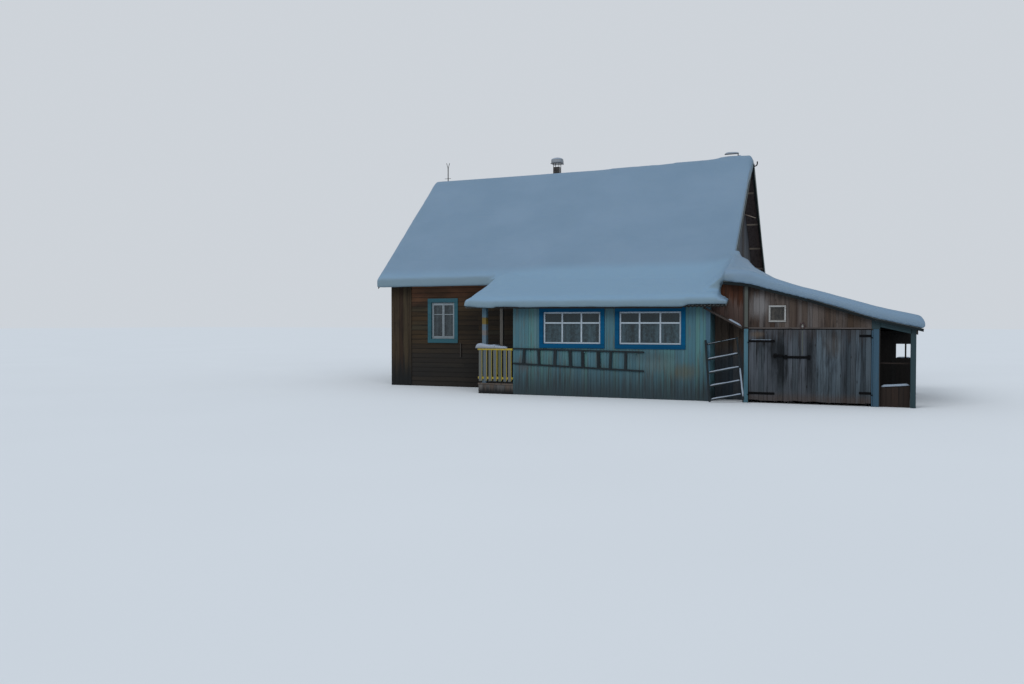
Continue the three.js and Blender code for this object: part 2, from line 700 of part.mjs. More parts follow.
// Snow on the shed: thin at the front edge, drifted up against the gable and the main roof's verge
function shedSnowRise(x, y) {
  const alongY = THREE.MathUtils.smoothstep(y, SHED.y0, MAIN_EAVE_Y + 300);
  const fade = 1 - 0.35 * THREE.MathUtils.smoothstep(y, 3500, SHED.y1);
  const drift = 620 * Math.exp(-Math.max(0, x - 3345) / 330);
  const front = SNOW.shed + 60 * Math.exp(-Math.max(0, x - 3345) / 900);
  return front + drift * alongY * fade;
}

function shedSnowLoop(y, left) {
  const right = SHED.x1;
  const lip = SNOW.lip;
  const onSheet = (x) => [x, y, shedTop(x) + SEAT];
  const onSnow = (x) => [x, y, shedTop(x) + shedSnowRise(x, y)];
  const atEdge = y === SHED.y0 - lip || y === SHED.y1 + lip ? 0.6 : 1;
  const soften = ([x, yy, z]) => [x, yy, shedTop(x) + (z - shedTop(x)) * atEdge];
  const xs = [left + 25, 3480, 3640, 3900, 4300, 5050, SHED.breakX, right - 50];
  return [
    ...[left, SHED.bendX, SHED.breakX, right].map(onSheet),
    [right + lip, y, shedTop(right) + SNOW.shed * 0.3],
    [right + lip * 0.5, y, shedTop(right) + SNOW.shed * 0.65],
    ...xs.reverse().map(onSnow).map(soften),
  ];
}

function shedSnow() {
  const lip = SNOW.lip;
  const clear = MAIN.x1 + lip + 5;
  const bands = [
    [SHED.y0 - lip, SHED.x0 + 20],
    [SHED.y0 + 40, SHED.x0],
    [600, SHED.x0],
    [MAIN_EAVE_Y - 120, SHED.x0],
    [MAIN_EAVE_Y - lip - 5, clear],
    [2100, clear],
    [3500, clear],
    [SHED.y1 - 40, clear],
    [SHED.y1 + lip, clear],
  ];
  return loft(bands.map(([y, left]) => shedSnowLoop(y, left)), 1);
}

// An upright board face between two x whose top follows the shed roof
function underShedRoof(x0, x1, y, z0) {
  return alongY([[x0, z0], [x1, z0], ...shedLine(x0, x1, -SEAT).reverse()], y);
}

const SHED_WINDOW = { x: 4590, z: 2235, size: 340, frame: 35 };

// The boards over the gate, with the lintel behind their feet
function shedFront() {
  const span = [LEFT_POST.x1, RIGHT_POST.x0];
  const { x, z, size } = SHED_WINDOW;
  const hole = block(about(x, size), [-1, 31], about(z, size));
  const panel = less(underShedRoof(...span, [0, 30], LINTEL_Z), hole);
  return joined(panel, block(span, [29, 130], [LINTEL_Z, LINTEL_Z + 100]));
}

const PENT = { x0: VERANDA.x1, z0: 2340, x1: LEFT_POST.x0, z1: 1905, thick: 40, y: [-150, 110] };

function pent() {
  const { x0, z0, x1, z1, thick, y } = PENT;
  return alongY([[x0, z0 - thick], [x1, z1 - thick], [x1, z1], [x0, z0]], y);
}

// The boards over the pent, around the veranda roof's right edge
function recessBoards() {
  const { x0, z0, x1, z1 } = PENT;
  const clearX = VERANDA_ROOF.x1 + 10;
  const clearZ = verandaUnder(PENT.y[1]) - 3;
  const top = SHED.flatZ - SEAT;
  const outline = [[x0, z0], [x1, z1], [x1, top], [clearX, top], [clearX, clearZ], [x0, clearZ]];
  return alongY(outline, [PENT.y[1], PENT.y[1] + 30]);
}

const RECESS = { y: 700, board: 40 };

function shedSideWall(x0, x1, y) {
  return underShedRoof(x0, x1, y, 0);
}

// The back of shed and bay, with a gap to look through behind the bay
const BAY_GAP = { beside: 60, z0: 900, z1: 1600 };

function shedBack() {
  const wall = underShedRoof(HOUSE.x1, BAY_POST.x1, [SHED_BACK_Y, SHED_BACK_Y + BOARD], 0);
  const gapX = [RIGHT_POST.x1 + BAY_GAP.beside, BAY_POST.x0];
  const gapY = [SHED_BACK_Y - 1, SHED_BACK_Y + BOARD + 1];
  return less(wall, block(gapX, gapY, [BAY_GAP.z0, BAY_GAP.z1]));
}

function bayFrame() {
  const line = shedLine(RIGHT_POST.x1, BAY_POST.x0 + 1, -SEAT);
  const lower = line.map(([x, z]) => [x, z - 120]);
  const post = shedSideWall(BAY_POST.x0, BAY_POST.x1, [0, BAY_POST.deep]);
  return joined(post, alongY([...lower, ...line.reverse()], [0, 90]));
}

// The recess beside the veranda: its back, and the shed's wall beside it
function recessWalls() {
  const y = [RECESS.y, RECESS.y + RECESS.board];
  const back = block([VERANDA.x1, LEFT_POST.x1 - 49], y, [0, SHED.flatZ - SEAT]);
  const underRoof = verandaUnder(RECESS.y) - 3;
  const notchX = [VERANDA.x1 - 1, SHED.x0 + 5];
  const notch = block(notchX, [y[0] - 1, y[1] + 1], [underRoof, SHED.flatZ]);
  const side = shedSideWall(LEFT_POST.x1 - 50, LEFT_POST.x1, [LEFT_POST.deep, RECESS.y + RECESS.board]);
  return joined(less(back, notch), side);
}

// The hinge axis of a gate leaf: in front of the post's face, and just beside its edge
const PIN = { out: 10, beside: 3, radius: 7, high: 20 };
const STRAP = { high: 60, thick: 8 };
const LEFT_STRAPS = [{ z: 1553, length: 620 }, { z: 246, length: 620 }];
const RIGHT_STRAPS = [{ z: 1694, length: 260 }, { z: 320, length: 260 }];

// A pintle on a post, seen from its leaf's side: the bracket and the round seat under a strap's eye
function pintle(z, side) {
  const top = z - STRAP.high / 2 - SEAT;
  const reach = side > 0 ? [-35, 0] : [0, 35];
  const bracket = block(reach, [-PIN.radius, PIN.out + 1], [top - PIN.high, top]);
  return joined(bracket, upright(PIN.radius, [top - PIN.high, top], 16));
}

function postWithPintles(post, axisX, side, straps) {
  const body = shedSideWall(post.x0, post.x1, [0, post.deep]);
  return joined(body, ...straps.map(({ z }) => pintle(z, side).translate([axisX, -PIN.out, 0])));
}

// A gate leaf with its ledges, strap hinges and bar; the local origin is on its hinge axis
function gateLeaf(width, side, straps, bar) {
  const front = PIN.out;
  const back = front + GATE.board;
  const from = HINGE_GAP - PIN.beside;
  const span = (a, b) => (side > 0 ? [a, b] : [-b, -a]);
  const boards = block(span(from, width), [front, back], [GATE.z0, GATE.z1]);
  const ledgeY = [back - 1, back + GATE.ledge];
  const ledges = [300, 1500].map((z) => block(span(from + 40, width - 40), ledgeY, [z, z + 120]));
  const irons = straps.map(({ z, length }) => {
    const high = about(z, STRAP.high);
    const strap = block(span(0, from + length), [front - STRAP.thick, front + 1], high);
    return joined(strap, upright(PIN.radius, high, 16));
  });
  const lock = block(span(bar.from, bar.to), [front - 30, front + 1], about(bar.z, 60));
  return joined(boards, ...ledges, ...irons, lock);
}

function shed() {
  const leftPin = LEFT_POST.x1 + PIN.beside;
  const rightPin = RIGHT_POST.x0 - PIN.beside;
  const leftWidth = GATE.splitX - LEAF_GAP / 2 - leftPin;
  const rightWidth = rightPin - (GATE.splitX + LEAF_GAP / 2);
  const leftBar = { from: leftWidth - 230, to: leftWidth - 4, z: 1190 };
  const rightBar = { from: rightWidth - 630, to: rightWidth - 4, z: 1160 };
  const leftLeaf = gateLeaf(leftWidth, 1, LEFT_STRAPS, leftBar);
  const rightLeaf = gateLeaf(rightWidth, -1, RIGHT_STRAPS, rightBar);
  const { size } = SHED_WINDOW;
  const frame = ring(size, size, SHED_WINDOW.frame, [-20, 0]);
  const glass = block(about(0, size - 2 * SEAT), [12, 16], about(0, size - 2 * SEAT));
  const bayWall = shedSideWall(RIGHT_POST.x1 - 50, RIGHT_POST.x1, [RIGHT_POST.deep, SHED_BACK_Y]);
  return groupAt(
    [0, 0, 0],
    piece("shed_post_left", postWithPintles(LEFT_POST, leftPin, 1, LEFT_STRAPS), "post"),
    piece("shed_post_right", postWithPintles(RIGHT_POST, rightPin, -1, RIGHT_STRAPS), "post"),
    piece("shed_front_boards", shedFront(), "greyBoard"),
    groupAt(
      [SHED_WINDOW.x, 0, SHED_WINDOW.z],
      piece("shed_window_frame", frame, "white"),
      piece("shed_window_glass", glass, "glass"),
    ),
    groupAt([leftPin, -PIN.out, 0], piece("gate_leaf_left", leftLeaf, "greyBoard")),
    groupAt([rightPin, -PIN.out, 0], piece("gate_leaf_right", rightLeaf, "greyBoard")),
    piece("shed_wall_right", bayWall, "greyBoard"),
    piece("shed_wall_back", shedBack(), "greyBoard"),
    piece("recess_walls", recessWalls(), "darkBoard"),
    piece("recess_pent", pent(), "darkBoard"),
    piece("recess_boards", recessBoards(), "redBoard"),
    piece("bay_frame", bayFrame(), "greyBoard"),
    leaningLadder(),
    piece("shed_roof", shedRoof(), "sheet"),
    piece("snow_shed_roof", shedSnow(), "snow"),
  );
}

// The short ladder that leans on the veranda's corner. Its rails run down to the ground
const LEANING = {
  x: 3010, y: -313.2, width: 740, rail: 45, top: 1600,
  lean: 0.2, tilt: 0.11, rungs: 5, pitch: 345, first: 130,
};

function leaningLadder() {
  const { width, rail, top, lean, tilt, rungs, pitch, first } = LEANING;
  const drop = 500;
  const rails = [0, width - rail].map((x) => block([x, x + rail], [-rail, 0], [-drop, top]));
  const treads = Array.from({ length: rungs }, (_, k) => {
    const z = first + k * pitch;
    return block([1, width - 1], [-rail + 4, -4], [z, z + 40]);
  });
  const turn = new THREE.Euler(-Math.atan(lean), -Math.atan(tilt), 0, "XYZ");
  const whole = geometryOf(joined(...rails, ...treads));
  whole.applyMatrix4(new THREE.Matrix4().makeRotationFromEuler(turn));
  whole.translate(LEANING.x, LEANING.y, 0);
  const above = block([0, 6000], [-2000, 2000], [0, 3000]);
  return piece("leaning_ladder", solidOf(whole).intersect(above), "darkBoard");
}

const frontEdge = VERANDA_ROOF.eaveY - SNOW.lip;
const backEdge = 2 * RIDGE_Y - MAIN_EAVE_Y + SNOW.lip;

const farmhouse = new THREE.Group();
farmhouse.name = "log_farmhouse";
farmhouse.add(house(), veranda(), porch(), shed());
farmhouse.position.y = -(frontEdge + backEdge) / 2;

export default farmhouse;
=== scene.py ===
"""The looks of a snow-covered village log farmhouse with a board veranda, a porch and a lean-to shed.

Metres, +Z up, the long front faces -Y. The pieces are drawn in site coordinates, where y = 0 is the outer
face of the veranda's front wall, and moved to the part's own frame as they are made.
"""

import math
import random

import bmesh
import bpy
from mathutils import Matrix, Vector, noise


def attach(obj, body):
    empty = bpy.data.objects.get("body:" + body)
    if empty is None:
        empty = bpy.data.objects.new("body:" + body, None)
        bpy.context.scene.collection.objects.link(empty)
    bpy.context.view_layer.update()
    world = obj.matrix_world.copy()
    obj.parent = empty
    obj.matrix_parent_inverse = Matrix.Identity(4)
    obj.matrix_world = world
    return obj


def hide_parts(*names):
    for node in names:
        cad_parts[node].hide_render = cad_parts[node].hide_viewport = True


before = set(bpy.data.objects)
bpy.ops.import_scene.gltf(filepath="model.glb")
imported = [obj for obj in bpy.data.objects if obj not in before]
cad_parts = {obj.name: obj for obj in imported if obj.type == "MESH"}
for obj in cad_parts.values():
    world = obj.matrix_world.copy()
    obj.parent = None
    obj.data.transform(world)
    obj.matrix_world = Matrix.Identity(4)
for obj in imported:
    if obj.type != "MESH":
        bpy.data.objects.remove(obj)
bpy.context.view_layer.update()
chance = random.Random(11)

SITE_Y = -4.56
UP = Vector((0, 0, 1))

# Log block and main roof
HOUSE_X = (-7.59, 2.90)
HOUSE_Y = (1.98, 9.07)
COURSE = 0.1475
WALL = 0.20
LOG_TOP = 3.50
RIDGE_Y = 5.525
ROOF_X = (-7.87, 3.30)
EAVE_Y = 1.58
EAVE_Z = 3.20
PITCH = 0.909
SLAB = 0.08

# Veranda and porch
VERANDA_X = (-2.516, 2.95)
VERANDA_WALL = 0.10
VERANDA_EAVE = (-0.35, 2.40)
VERANDA_PITCH = 0.378
LADDER_X = (-2.5, 1.224)
LADDER_RAILS = {"top": (1.290, 1.235), "low": (0.875, 0.735)}
POST_X = -3.49
PORCH_X = (-3.59, -2.52)
FLOOR_END = 1.96
PORCH_FLOOR = (0.26, 0.3)
RAIL_Z = 1.29
DOOR = (1.0, 1.25, 0.8, 1.9)

# Shed
SHED_X = (3.285, 7.87)
SHED_Y = (-0.16, 5.16)
SHED_TOP = 3.0
SHED_BENDS = (3.90, 6.84)
SHED_PITCHES = (0.322, 0.236)
LEFT_POST_X = (3.755, 3.905)
RIGHT_POST_X = (6.75, 6.94)
BAY_POST_X = (7.60, 7.72)
PENT_Z = (2.34, 1.905)
LINTEL_Z = 1.86
GATE_Z = (0.06, 1.84)
PIN_Y = -0.01

# Each gate leaf: its pin, its meeting edge, which way it runs from the pin, the heights and the length of its
# straps, and its bar's ends, height and keepers
LEAVES = {
    "left": (3.908, 4.731, 1, (1.553, 0.246), 0.62, (4.501, 4.727), 1.19, (4.54,)),
    "right": (6.747, 4.741, -1, (1.694, 0.32), 0.26, (4.745, 5.371), 1.16, (4.80, 5.34)),
}

# Windows: middle, width and height of the opening
FRONT_WINDOW = (-5.74, 2.078, 0.813, 1.155)
VERANDA_WINDOWS = {"left": (-0.792, 1.872, 1.65, 0.885), "right": (1.373, 1.872, 1.665, 0.885)}
SHED_WINDOW = (4.59, 2.235, 0.34, 0.34)
BACK_WINDOWS = {"left": -5.0, "right": 0.5}
SIDE_WINDOWS = {"front": 3.925, "back": 7.125}


def main_under(y):
    return EAVE_Z + PITCH * (min(y, 2 * RIDGE_Y - y) - EAVE_Y)


def veranda_under(y):
    return VERANDA_EAVE[1] + VERANDA_PITCH * (y - VERANDA_EAVE[0])


def shed_under(x):
    first, second = SHED_BENDS
    at_break = SHED_TOP - SHED_PITCHES[0] * (second - first)
    if x <= first:
        return SHED_TOP
    if x <= second:
        return SHED_TOP - SHED_PITCHES[0] * (x - first)
    return at_break - SHED_PITCHES[1] * (x - second)


def over(roof, rise):
    """A roof's underside plus a rise, as a height over (x, y) or along a wall."""
    which = 0 if roof is shed_under else -1
    return lambda *at: roof(at[which]) + rise


def between(roof, low, high):
    return over(roof, low), over(roof, high)


def line(x, ends, levels):
    """The height at x of a straight line through two ends."""
    return levels[0] + (levels[1] - levels[0]) * (x - ends[0]) / (ends[1] - ends[0])


def sloped(ends, levels, low, high):
    """The lower and upper side of a block along a line that is given at its two ends."""
    known = dict(zip(ends, levels))
    return (lambda x, _: known[x] + low), (lambda x, _: known[x] + high)


def hung(ends, drops):
    """A height below the shed roof by a drop at each end."""
    known = dict(zip(ends, drops))
    return lambda x, _: shed_under(x) - known[x]


# Shapes

HEXA = ((0, 3, 2, 1), (4, 5, 6, 7), (0, 1, 5, 4), (1, 2, 6, 5), (2, 3, 7, 6), (3, 0, 4, 7))


def value(level, *at):
    return level(*at) if callable(level) else level


def corners(a, b):
    return (a[0], b[0]), (a[1], b[0]), (a[1], b[1]), (a[0], b[1])


def tube(steps, sides):
    """The faces of a closed skin over rings of points, one ring more than there are steps."""
    skin = [
        (k * sides + i, k * sides + (i + 1) % sides, (k + 1) * sides + (i + 1) % sides, (k + 1) * sides + i)
        for k in range(steps)
        for i in range(sides)
    ]
    return skin + [tuple(range(sides)), tuple(range(steps * sides, (steps + 1) * sides))]


def facing(side, plane):
    """Turns (along, out, up) into site coordinates for a wall whose outer face lies in a plane."""
    if side in ("front", "back"):
        out = -1 if side == "front" else 1
        return lambda u, w, z: (u, plane + out * w, z)
    out = -1 if side == "left" else 1
    return lambda u, w, z: (plane + out * w, u, z)


FRONT = facing("front", 0.0)


def hole(x, z, width, height):
    return ((x - width / 2, x + width / 2), (z - height / 2, z + height / 2))


def cuts(span, keys, width):
    """Where boards meet: at both ends, at each key, and about a width apart between them."""
    ends = sorted({*span, *[k for k in keys if span[0] < k < span[1]]})
    places = [ends[0]]
    for a, b in zip(ends, ends[1:]):
        count = max(1, round((b - a) / width)) if width else 1
        step = (b - a) / count
        places += [a + step * (k + chance.uniform(-0.14, 0.14)) for k in range(1, count)]
        places.append(b)
    return list(zip(places, places[1:]))


def without(rect, holes):
    """The parts of a rectangle (u0, u1, z0, z1) outside the holes."""
    parts = [rect]
    for (h0, h1), (v0, v1) in holes:
        kept = []
        for u0, u1, z0, z1 in parts:
            if h1 <= u0 or h0 >= u1 or v1 <= z0 or v0 >= z1:
                kept.append((u0, u1, z0, z1))
                continue
            a, b = max(u0, h0), min(u1, h1)
            kept += [(u0, h0, z0, z1)] if u0 < h0 else []
            kept += [(h1, u1, z0, z1)] if h1 < u1 else []
            kept += [(a, b, z0, v0)] if z0 < v0 else []
            kept += [(a, b, v1, z1)] if v1 < z1 else []
        parts = kept
    return parts


class Shape:
    """Vertices and faces in site coordinates, gathered board by board. At turns a wall's (along, out, up)
    into them. A height is a number, or a function of the place."""

    def __init__(self, at=None):
        self.verts, self.faces, self.at = [], [], at

    def on(self, at):
        self.at = at
        return self

    def add(self, verts, faces):
        first = len(self.verts)
        self.verts += [tuple(v) for v in verts]
        self.faces += [[first + i for i in face] for face in faces]
        return self

    def box(self, x, y, z):
        return self.add([(a, b, value(c, a, b)) for c in z for a, b in corners(x, y)], HEXA)

    def slab(self, u, w, low, top):
        """One board between two u and two w."""
        return self.add([self.at(a, b, value(c, a)) for c in (low, top) for a, b in corners(u, w)], HEXA)

    def rim(self, opening, wide, out, proud=0.0, gap=0.0):
        """Four boards inside the edges of a rectangle. The level ones run through."""
        (u0, u1), (z0, z1) = opening
        side, level = wide if isinstance(wide, tuple) else (wide, wide)
        for low, high in ((z0, z0 + level), (z1 - level, z1)):
            self.slab((u0, u1), (out[0], out[1] + proud), low, high)
        for a, b in ((u0, u0 + side), (u1 - side, u1)):
            self.slab((a, b), out, z0 + level + gap, z1 - level - gap)
        return self

    def boards(self, span, low, top, out, width=None, holes=(), keys=(), gap=0.003, uneven=0.0, ragged=0.0):
        """Boards side by side along u, over a thin core. A hole is ((u0, u1), (z0, z1))."""
        edges = [edge for across, _ in holes for edge in across]
        for a, b in cuts(span, [*keys, *edges], width):
            w = (out[0], out[1] + chance.uniform(-uneven, uneven))
            drop = chance.uniform(0, ragged)
            level = (lambda x, d=drop: low(x) + d) if callable(low) else low + drop
            middle = (out[0] + out[1]) / 2
            lengths = []
            for across, (z0, z1) in sorted(holes, key=lambda opening: opening[1]):
                if across[0] < (a + b) / 2 < across[1]:
                    lengths.append((level, z0))
                    level = z1
            for ends in (*lengths, (level, top)):
                self.slab((a + gap / 2, b - gap / 2), w, *ends)
                self.slab((a, b), (middle - 0.001, middle + 0.001), *ends)
        return self

    def laps(self, span, rise, pitch, holes=(), length=3.6, lap=0.016, head=0.006):
        """Lapped boards in courses: each is proud at its foot and thin at its head."""
        courses = round((rise[1] - rise[0]) / pitch)
        step = (rise[1] - rise[0]) / courses
        for k in range(courses):
            z = rise[0] + k * step
            joints = cuts(span, (), length * chance.uniform(0.8, 1.3))
            foot = lap + chance.uniform(-0.003, 0.003)
            for a, b in joints:
                for u0, u1, low, high in without((a + 0.001, b - 0.001, z, z + step), holes):
                    ends = ((low, foot), (high, head))
                    board = [self.at(u, w, c) for c, out in ends for u, w in corners((u0, u1), (0, out))]
                    self.add(board, HEXA)
        return self

    def planks(self, x, span, z, gap=0.002):
        """Boards that lie side by side along y."""
        for a, b in cuts(span, (), 0.13):
            self.box(x, (a + gap, b - gap), z)
        return self

    def rod(self, p, q, radius, sides=10):
        """A round bar between two points."""
        p, q = Vector(p), Vector(q)
        along = (q - p).normalized()
        side = along.cross(UP if abs(along.z) < 0.9 else Vector((1, 0, 0))).normalized()
        other = along.cross(side)
        turns = [2 * math.pi * i / sides for i in range(sides)]
        ends = [end + (side * math.cos(t) + other * math.sin(t)) * radius for end in (p, q) for t in turns]
        return self.add(ends, tube(1, sides))

    def snow(self, p, q, width, height, steps=28, seed=0.0, end=0.1, sides=12):
        """Snow lying along a rail or a rung: a soft hump that swells and thins, rounded at its ends."""
        p, q = Vector(p), Vector(q)
        across = (q - p).cross(UP).normalized()
        points = []
        for k in range(steps + 1):
            t = k / steps
            near = min(1.0, min(t, 1 - t) * (q - p).length / end)
            round_end = math.sqrt(max(0.02, 1 - (1 - near) ** 2))
            lump = 1 + 0.35 * noise.noise(Vector((t * (q - p).length * 3.1, seed, 0)))
            middle = p.lerp(q, t) + across * width * 0.08 * noise.noise(Vector((t * 5, seed, 7)))
            for i in range(sides + 1):
                a = math.pi * i / sides
                sideways = across * (math.cos(a) * width / 2 * round_end * (1 + 0.12 * math.sin(a)))
                points.append(middle + sideways + UP * (math.sin(a) ** 0.8 * height * round_end * lump))
        return self.add(points, tube(steps, sides + 1))

    def sheet(self, across, rows, top, turned=False, pitch=0.115, swing=0.013, thin=0.009, steps=8):
        """Sheets whose waves run along the rows. Top is the height of the crests at a row."""
        count = max(2, round((across[1] - across[0]) / pitch * steps))
        columns = [across[0] + (across[1] - across[0]) * k / count for k in range(count + 1)]
        n = len(columns)
        for drop in (0, thin):
            for v in rows:
                for u in columns:
                    z = value(top, v) + swing * (math.cos(2 * math.pi * (u - across[0]) / pitch) - 1) - drop
                    self.verts.append((v, u, z) if turned else (u, v, z))
        low = n * len(rows)
        faces = []
        for k in range(len(rows) - 1):
            for a in range(k * n, k * n + n - 1):
                faces += [(a, a + 1, a + 1 + n, a + n), (low + a, low + a + n, low + a + n + 1, low + a + 1)]
        rim = [*range(n), *range(2 * n - 1, low, n)]
        rim += [*range(low - 2, low - n - 1, -1), *range(low - 2 * n, 0, -n)]
        faces += [(a, b, b + low, a + low) for a, b in zip(rim, [*rim[1:], rim[0]])]
        first = len(self.verts) - 2 * low
        self.faces += [[first + i for i in face] for face in faces]
        return self

    def casing(self, opening, board, proud):
        """Boards around an opening."""
        (u0, u1), (z0, z1) = hole(*opening)
        grown = ((u0 - board, u1 + board), (z0 - board, z1 + board))
        return self.rim(grown, board, (-0.001, proud), 0.004, 0.001)

    def reveal(self, opening, deep, thick=0.012):
        """The lining of an opening, from the casing inwards."""
        return self.rim(hole(*opening), thick, (-deep, 0.004))

    def fill(self, bm):
        verts = [bm.verts.new((x, y + SITE_Y, z)) for x, y, z in self.verts]
        for face in self.faces:
            bm.faces.new([verts[i] for i in face])


def placed(name, data):
    holder = bpy.data.objects.new(name, data)
    bpy.context.scene.collection.objects.link(holder)
    return holder


def closed(name, bm):
    mesh = bpy.data.meshes.new(name)
    bm.to_mesh(mesh)
    bm.free()
    return mesh


def made(name, shape, look, *nodes, slot=None, body="house", bevel=0.003, smooth=False):
    """The mesh piece of a shape. It stands for the CAD nodes that are named."""
    bm = bmesh.new()
    shape.fill(bm)
    bmesh.ops.recalc_face_normals(bm, faces=bm.faces[:])
    if bevel and not smooth:
        bmesh.ops.bevel(bm, geom=bm.edges[:], offset=bevel, segments=1, affect="EDGES", clamp_overlap=True)
    return shown(name, closed(name, bm), look, nodes, body, smooth)


def shown(name, mesh, look, stands_for=(), body="house", smooth=False):
    """A piece from a mesh, in a look, riding on its body."""
    mesh.materials.clear()
    mesh.materials.append(LOOKS[look][0])
    mesh.polygons.foreach_set("use_smooth", [smooth] * len(mesh.polygons))
    piece = placed(name, mesh)
    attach(piece, body)
    if stands_for:
        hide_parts(*stands_for)
    return piece


def sheets(name, shape, look, *nodes, slot=None):
    """A corrugated piece: smooth, but for its sharp edges."""
    made(name, shape, look, *nodes, slot=slot, smooth=True).data.set_sharp_from_angle(angle=math.radians(45))


def dress(look, *nodes):
    """Gives CAD nodes that stay in view a look of their own."""
    for node in nodes:
        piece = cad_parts[node]
        piece.data.materials.clear()
        piece.data.materials.append(LOOKS[look][0])


# Looks


def linear(r, g, b):
    """A colour of the screen, 0 to 255, as light."""
    steps = [v / 255 for v in (r, g, b)]
    return (*[v / 12.92 if v <= 0.04045 else ((v + 0.055) / 1.055) ** 2.4 for v in steps], 1.0)


def along(grain, fine, long):
    """A pattern scale, fine across the grain and long along it."""
    return tuple(long if axis == grain else fine for axis in "xyz")


class Look:
    """A material, with short ways to lay patterns over each other."""

    def __init__(self, name):
        self.material = bpy.data.materials.new(name)
        self.material.use_nodes = True
        self.tree = self.material.node_tree
        self.shader = self.tree.nodes["Principled BSDF"]
        self.place = self.node("ShaderNodeTexCoord").outputs["Object"]
        self.island = self.node("ShaderNodeNewGeometry").outputs["Random Per Island"]

    def node(self, kind, inputs=(), **settings):
        fresh = self.tree.nodes.new(kind)
        for key, setting in settings.items():
            setattr(fresh, key, setting)
        for key, what in dict(inputs).items():
            self.feed(fresh.inputs[key], what)
        return fresh

    def feed(self, socket, what):
        if isinstance(what, bpy.types.NodeSocket):
            self.tree.links.new(what, socket)
        else:
            socket.default_value = what

    def math(self, operation, a, b=0.0):
        return self.node("ShaderNodeMath", {0: a, 1: b}, operation=operation).outputs[0]

    def times(self, a, b):
        return self.math("MULTIPLY", a, b)

    def plus(self, a, b):
        return self.math("ADD", a, b)

    def axis(self, name):
        return self.node("ShaderNodeSeparateXYZ", {"Vector": self.place}).outputs[name]

    def scaled(self, scale, by_board=False):
        place = self.place
        if by_board:
            shift = self.times(self.island, 43.0)
            place = self.node("ShaderNodeVectorMath", {0: place, 1: shift}, operation="ADD").outputs[0]
        return self.node("ShaderNodeMapping", {"Vector": place, "Scale": scale}).outputs["Vector"]

    def noise(self, scale, detail=3.0, roughness=0.55, by_board=False):
        inputs = {"Vector": self.scaled(scale, by_board), "Scale": 1.0}
        inputs.update({"Detail": detail, "Roughness": roughness})
        return self.node("ShaderNodeTexNoise", inputs).outputs["Fac"]

    def cells(self, scale, by_board=False):
        inputs = {"Vector": self.scaled(scale, by_board), "Scale": 1.0}
        return self.node("ShaderNodeTexVoronoi", inputs).outputs["Distance"]

    def band(self, what, low, high):
        """0 below low and 1 above high, or the other way round where low is the larger."""
        ends = {"Value": what, "From Min": min(low, high), "From Max": max(low, high)}
        ends.update({"To Min": 1.0, "To Max": 0.0} if low > high else {})
        return self.node("ShaderNodeMapRange", ends, interpolation_type="SMOOTHSTEP").outputs["Result"]

    def spread(self, what, low, high):
        ends = {"Value": what, "To Min": low, "To Max": high}
        return self.node("ShaderNodeMapRange", ends).outputs["Result"]

    def mix(self, share, under, over, blend="MIX"):
        inputs = {0: share, 6: under, 7: over}
        return self.node("ShaderNodeMix", inputs, data_type="RGBA", blend_type=blend).outputs[2]

    def palette(self, what, *colours):
        fresh = self.node("ShaderNodeValToRGB", {"Fac": what})
        elements = fresh.color_ramp.elements
        elements[0].color, elements[1].color = colours[0], colours[-1]
        for k, colour in enumerate(colours[1:-1], 1):
            elements.new(k / (len(colours) - 1)).color = colour
        return fresh.outputs["Color"]

    def shade(self, colour, what, dark, light=1.0):
        """The colour times a grey that follows a pattern."""
        grey = self.palette(what, (dark, dark, dark, 1), (light, light, light, 1))
        return self.mix(1.0, colour, grey, "MULTIPLY")

    def stained(self, colour, pattern, share, tone, *shade):
        """Lays a tone over a share of a pattern. Shade, if given, is a second pattern's dark and light."""
        tone = self.shade(linear(*tone), *shade) if shade else linear(*tone)
        return self.mix(self.times(pattern, share), colour, tone)

    def spot(self, middle, reach):
        """1 at a place and 0 past its reach, with a torn edge. Middle and reach are (x, z)."""
        dx = self.math("DIVIDE", self.math("SUBTRACT", self.axis("X"), middle[0]), reach[0])
        dz = self.math("DIVIDE", self.math("SUBTRACT", self.axis("Z"), middle[1]), reach[1])
        away = self.math("SQRT", self.plus(self.math("POWER", dx, 2.0), self.math("POWER", dz, 2.0)))
        return self.band(self.plus(away, self.times(self.noise((9, 9, 2.2), 4, 0.7), 0.9)), 1.35, 0.55)

    def done(self, colour, roughness, height=None, depth=0.002, specular=0.3):
        self.feed(self.shader.inputs["Base Color"], colour)
        self.feed(self.shader.inputs["Roughness"], roughness)
        self.shader.inputs["Specular IOR Level"].default_value = specular
        if height is not None:
            bump = self.node("ShaderNodeBump", {"Height": height, "Distance": depth, "Strength": 1.0})
            self.feed(self.shader.inputs["Normal"], bump.outputs["Normal"])
        return self.material


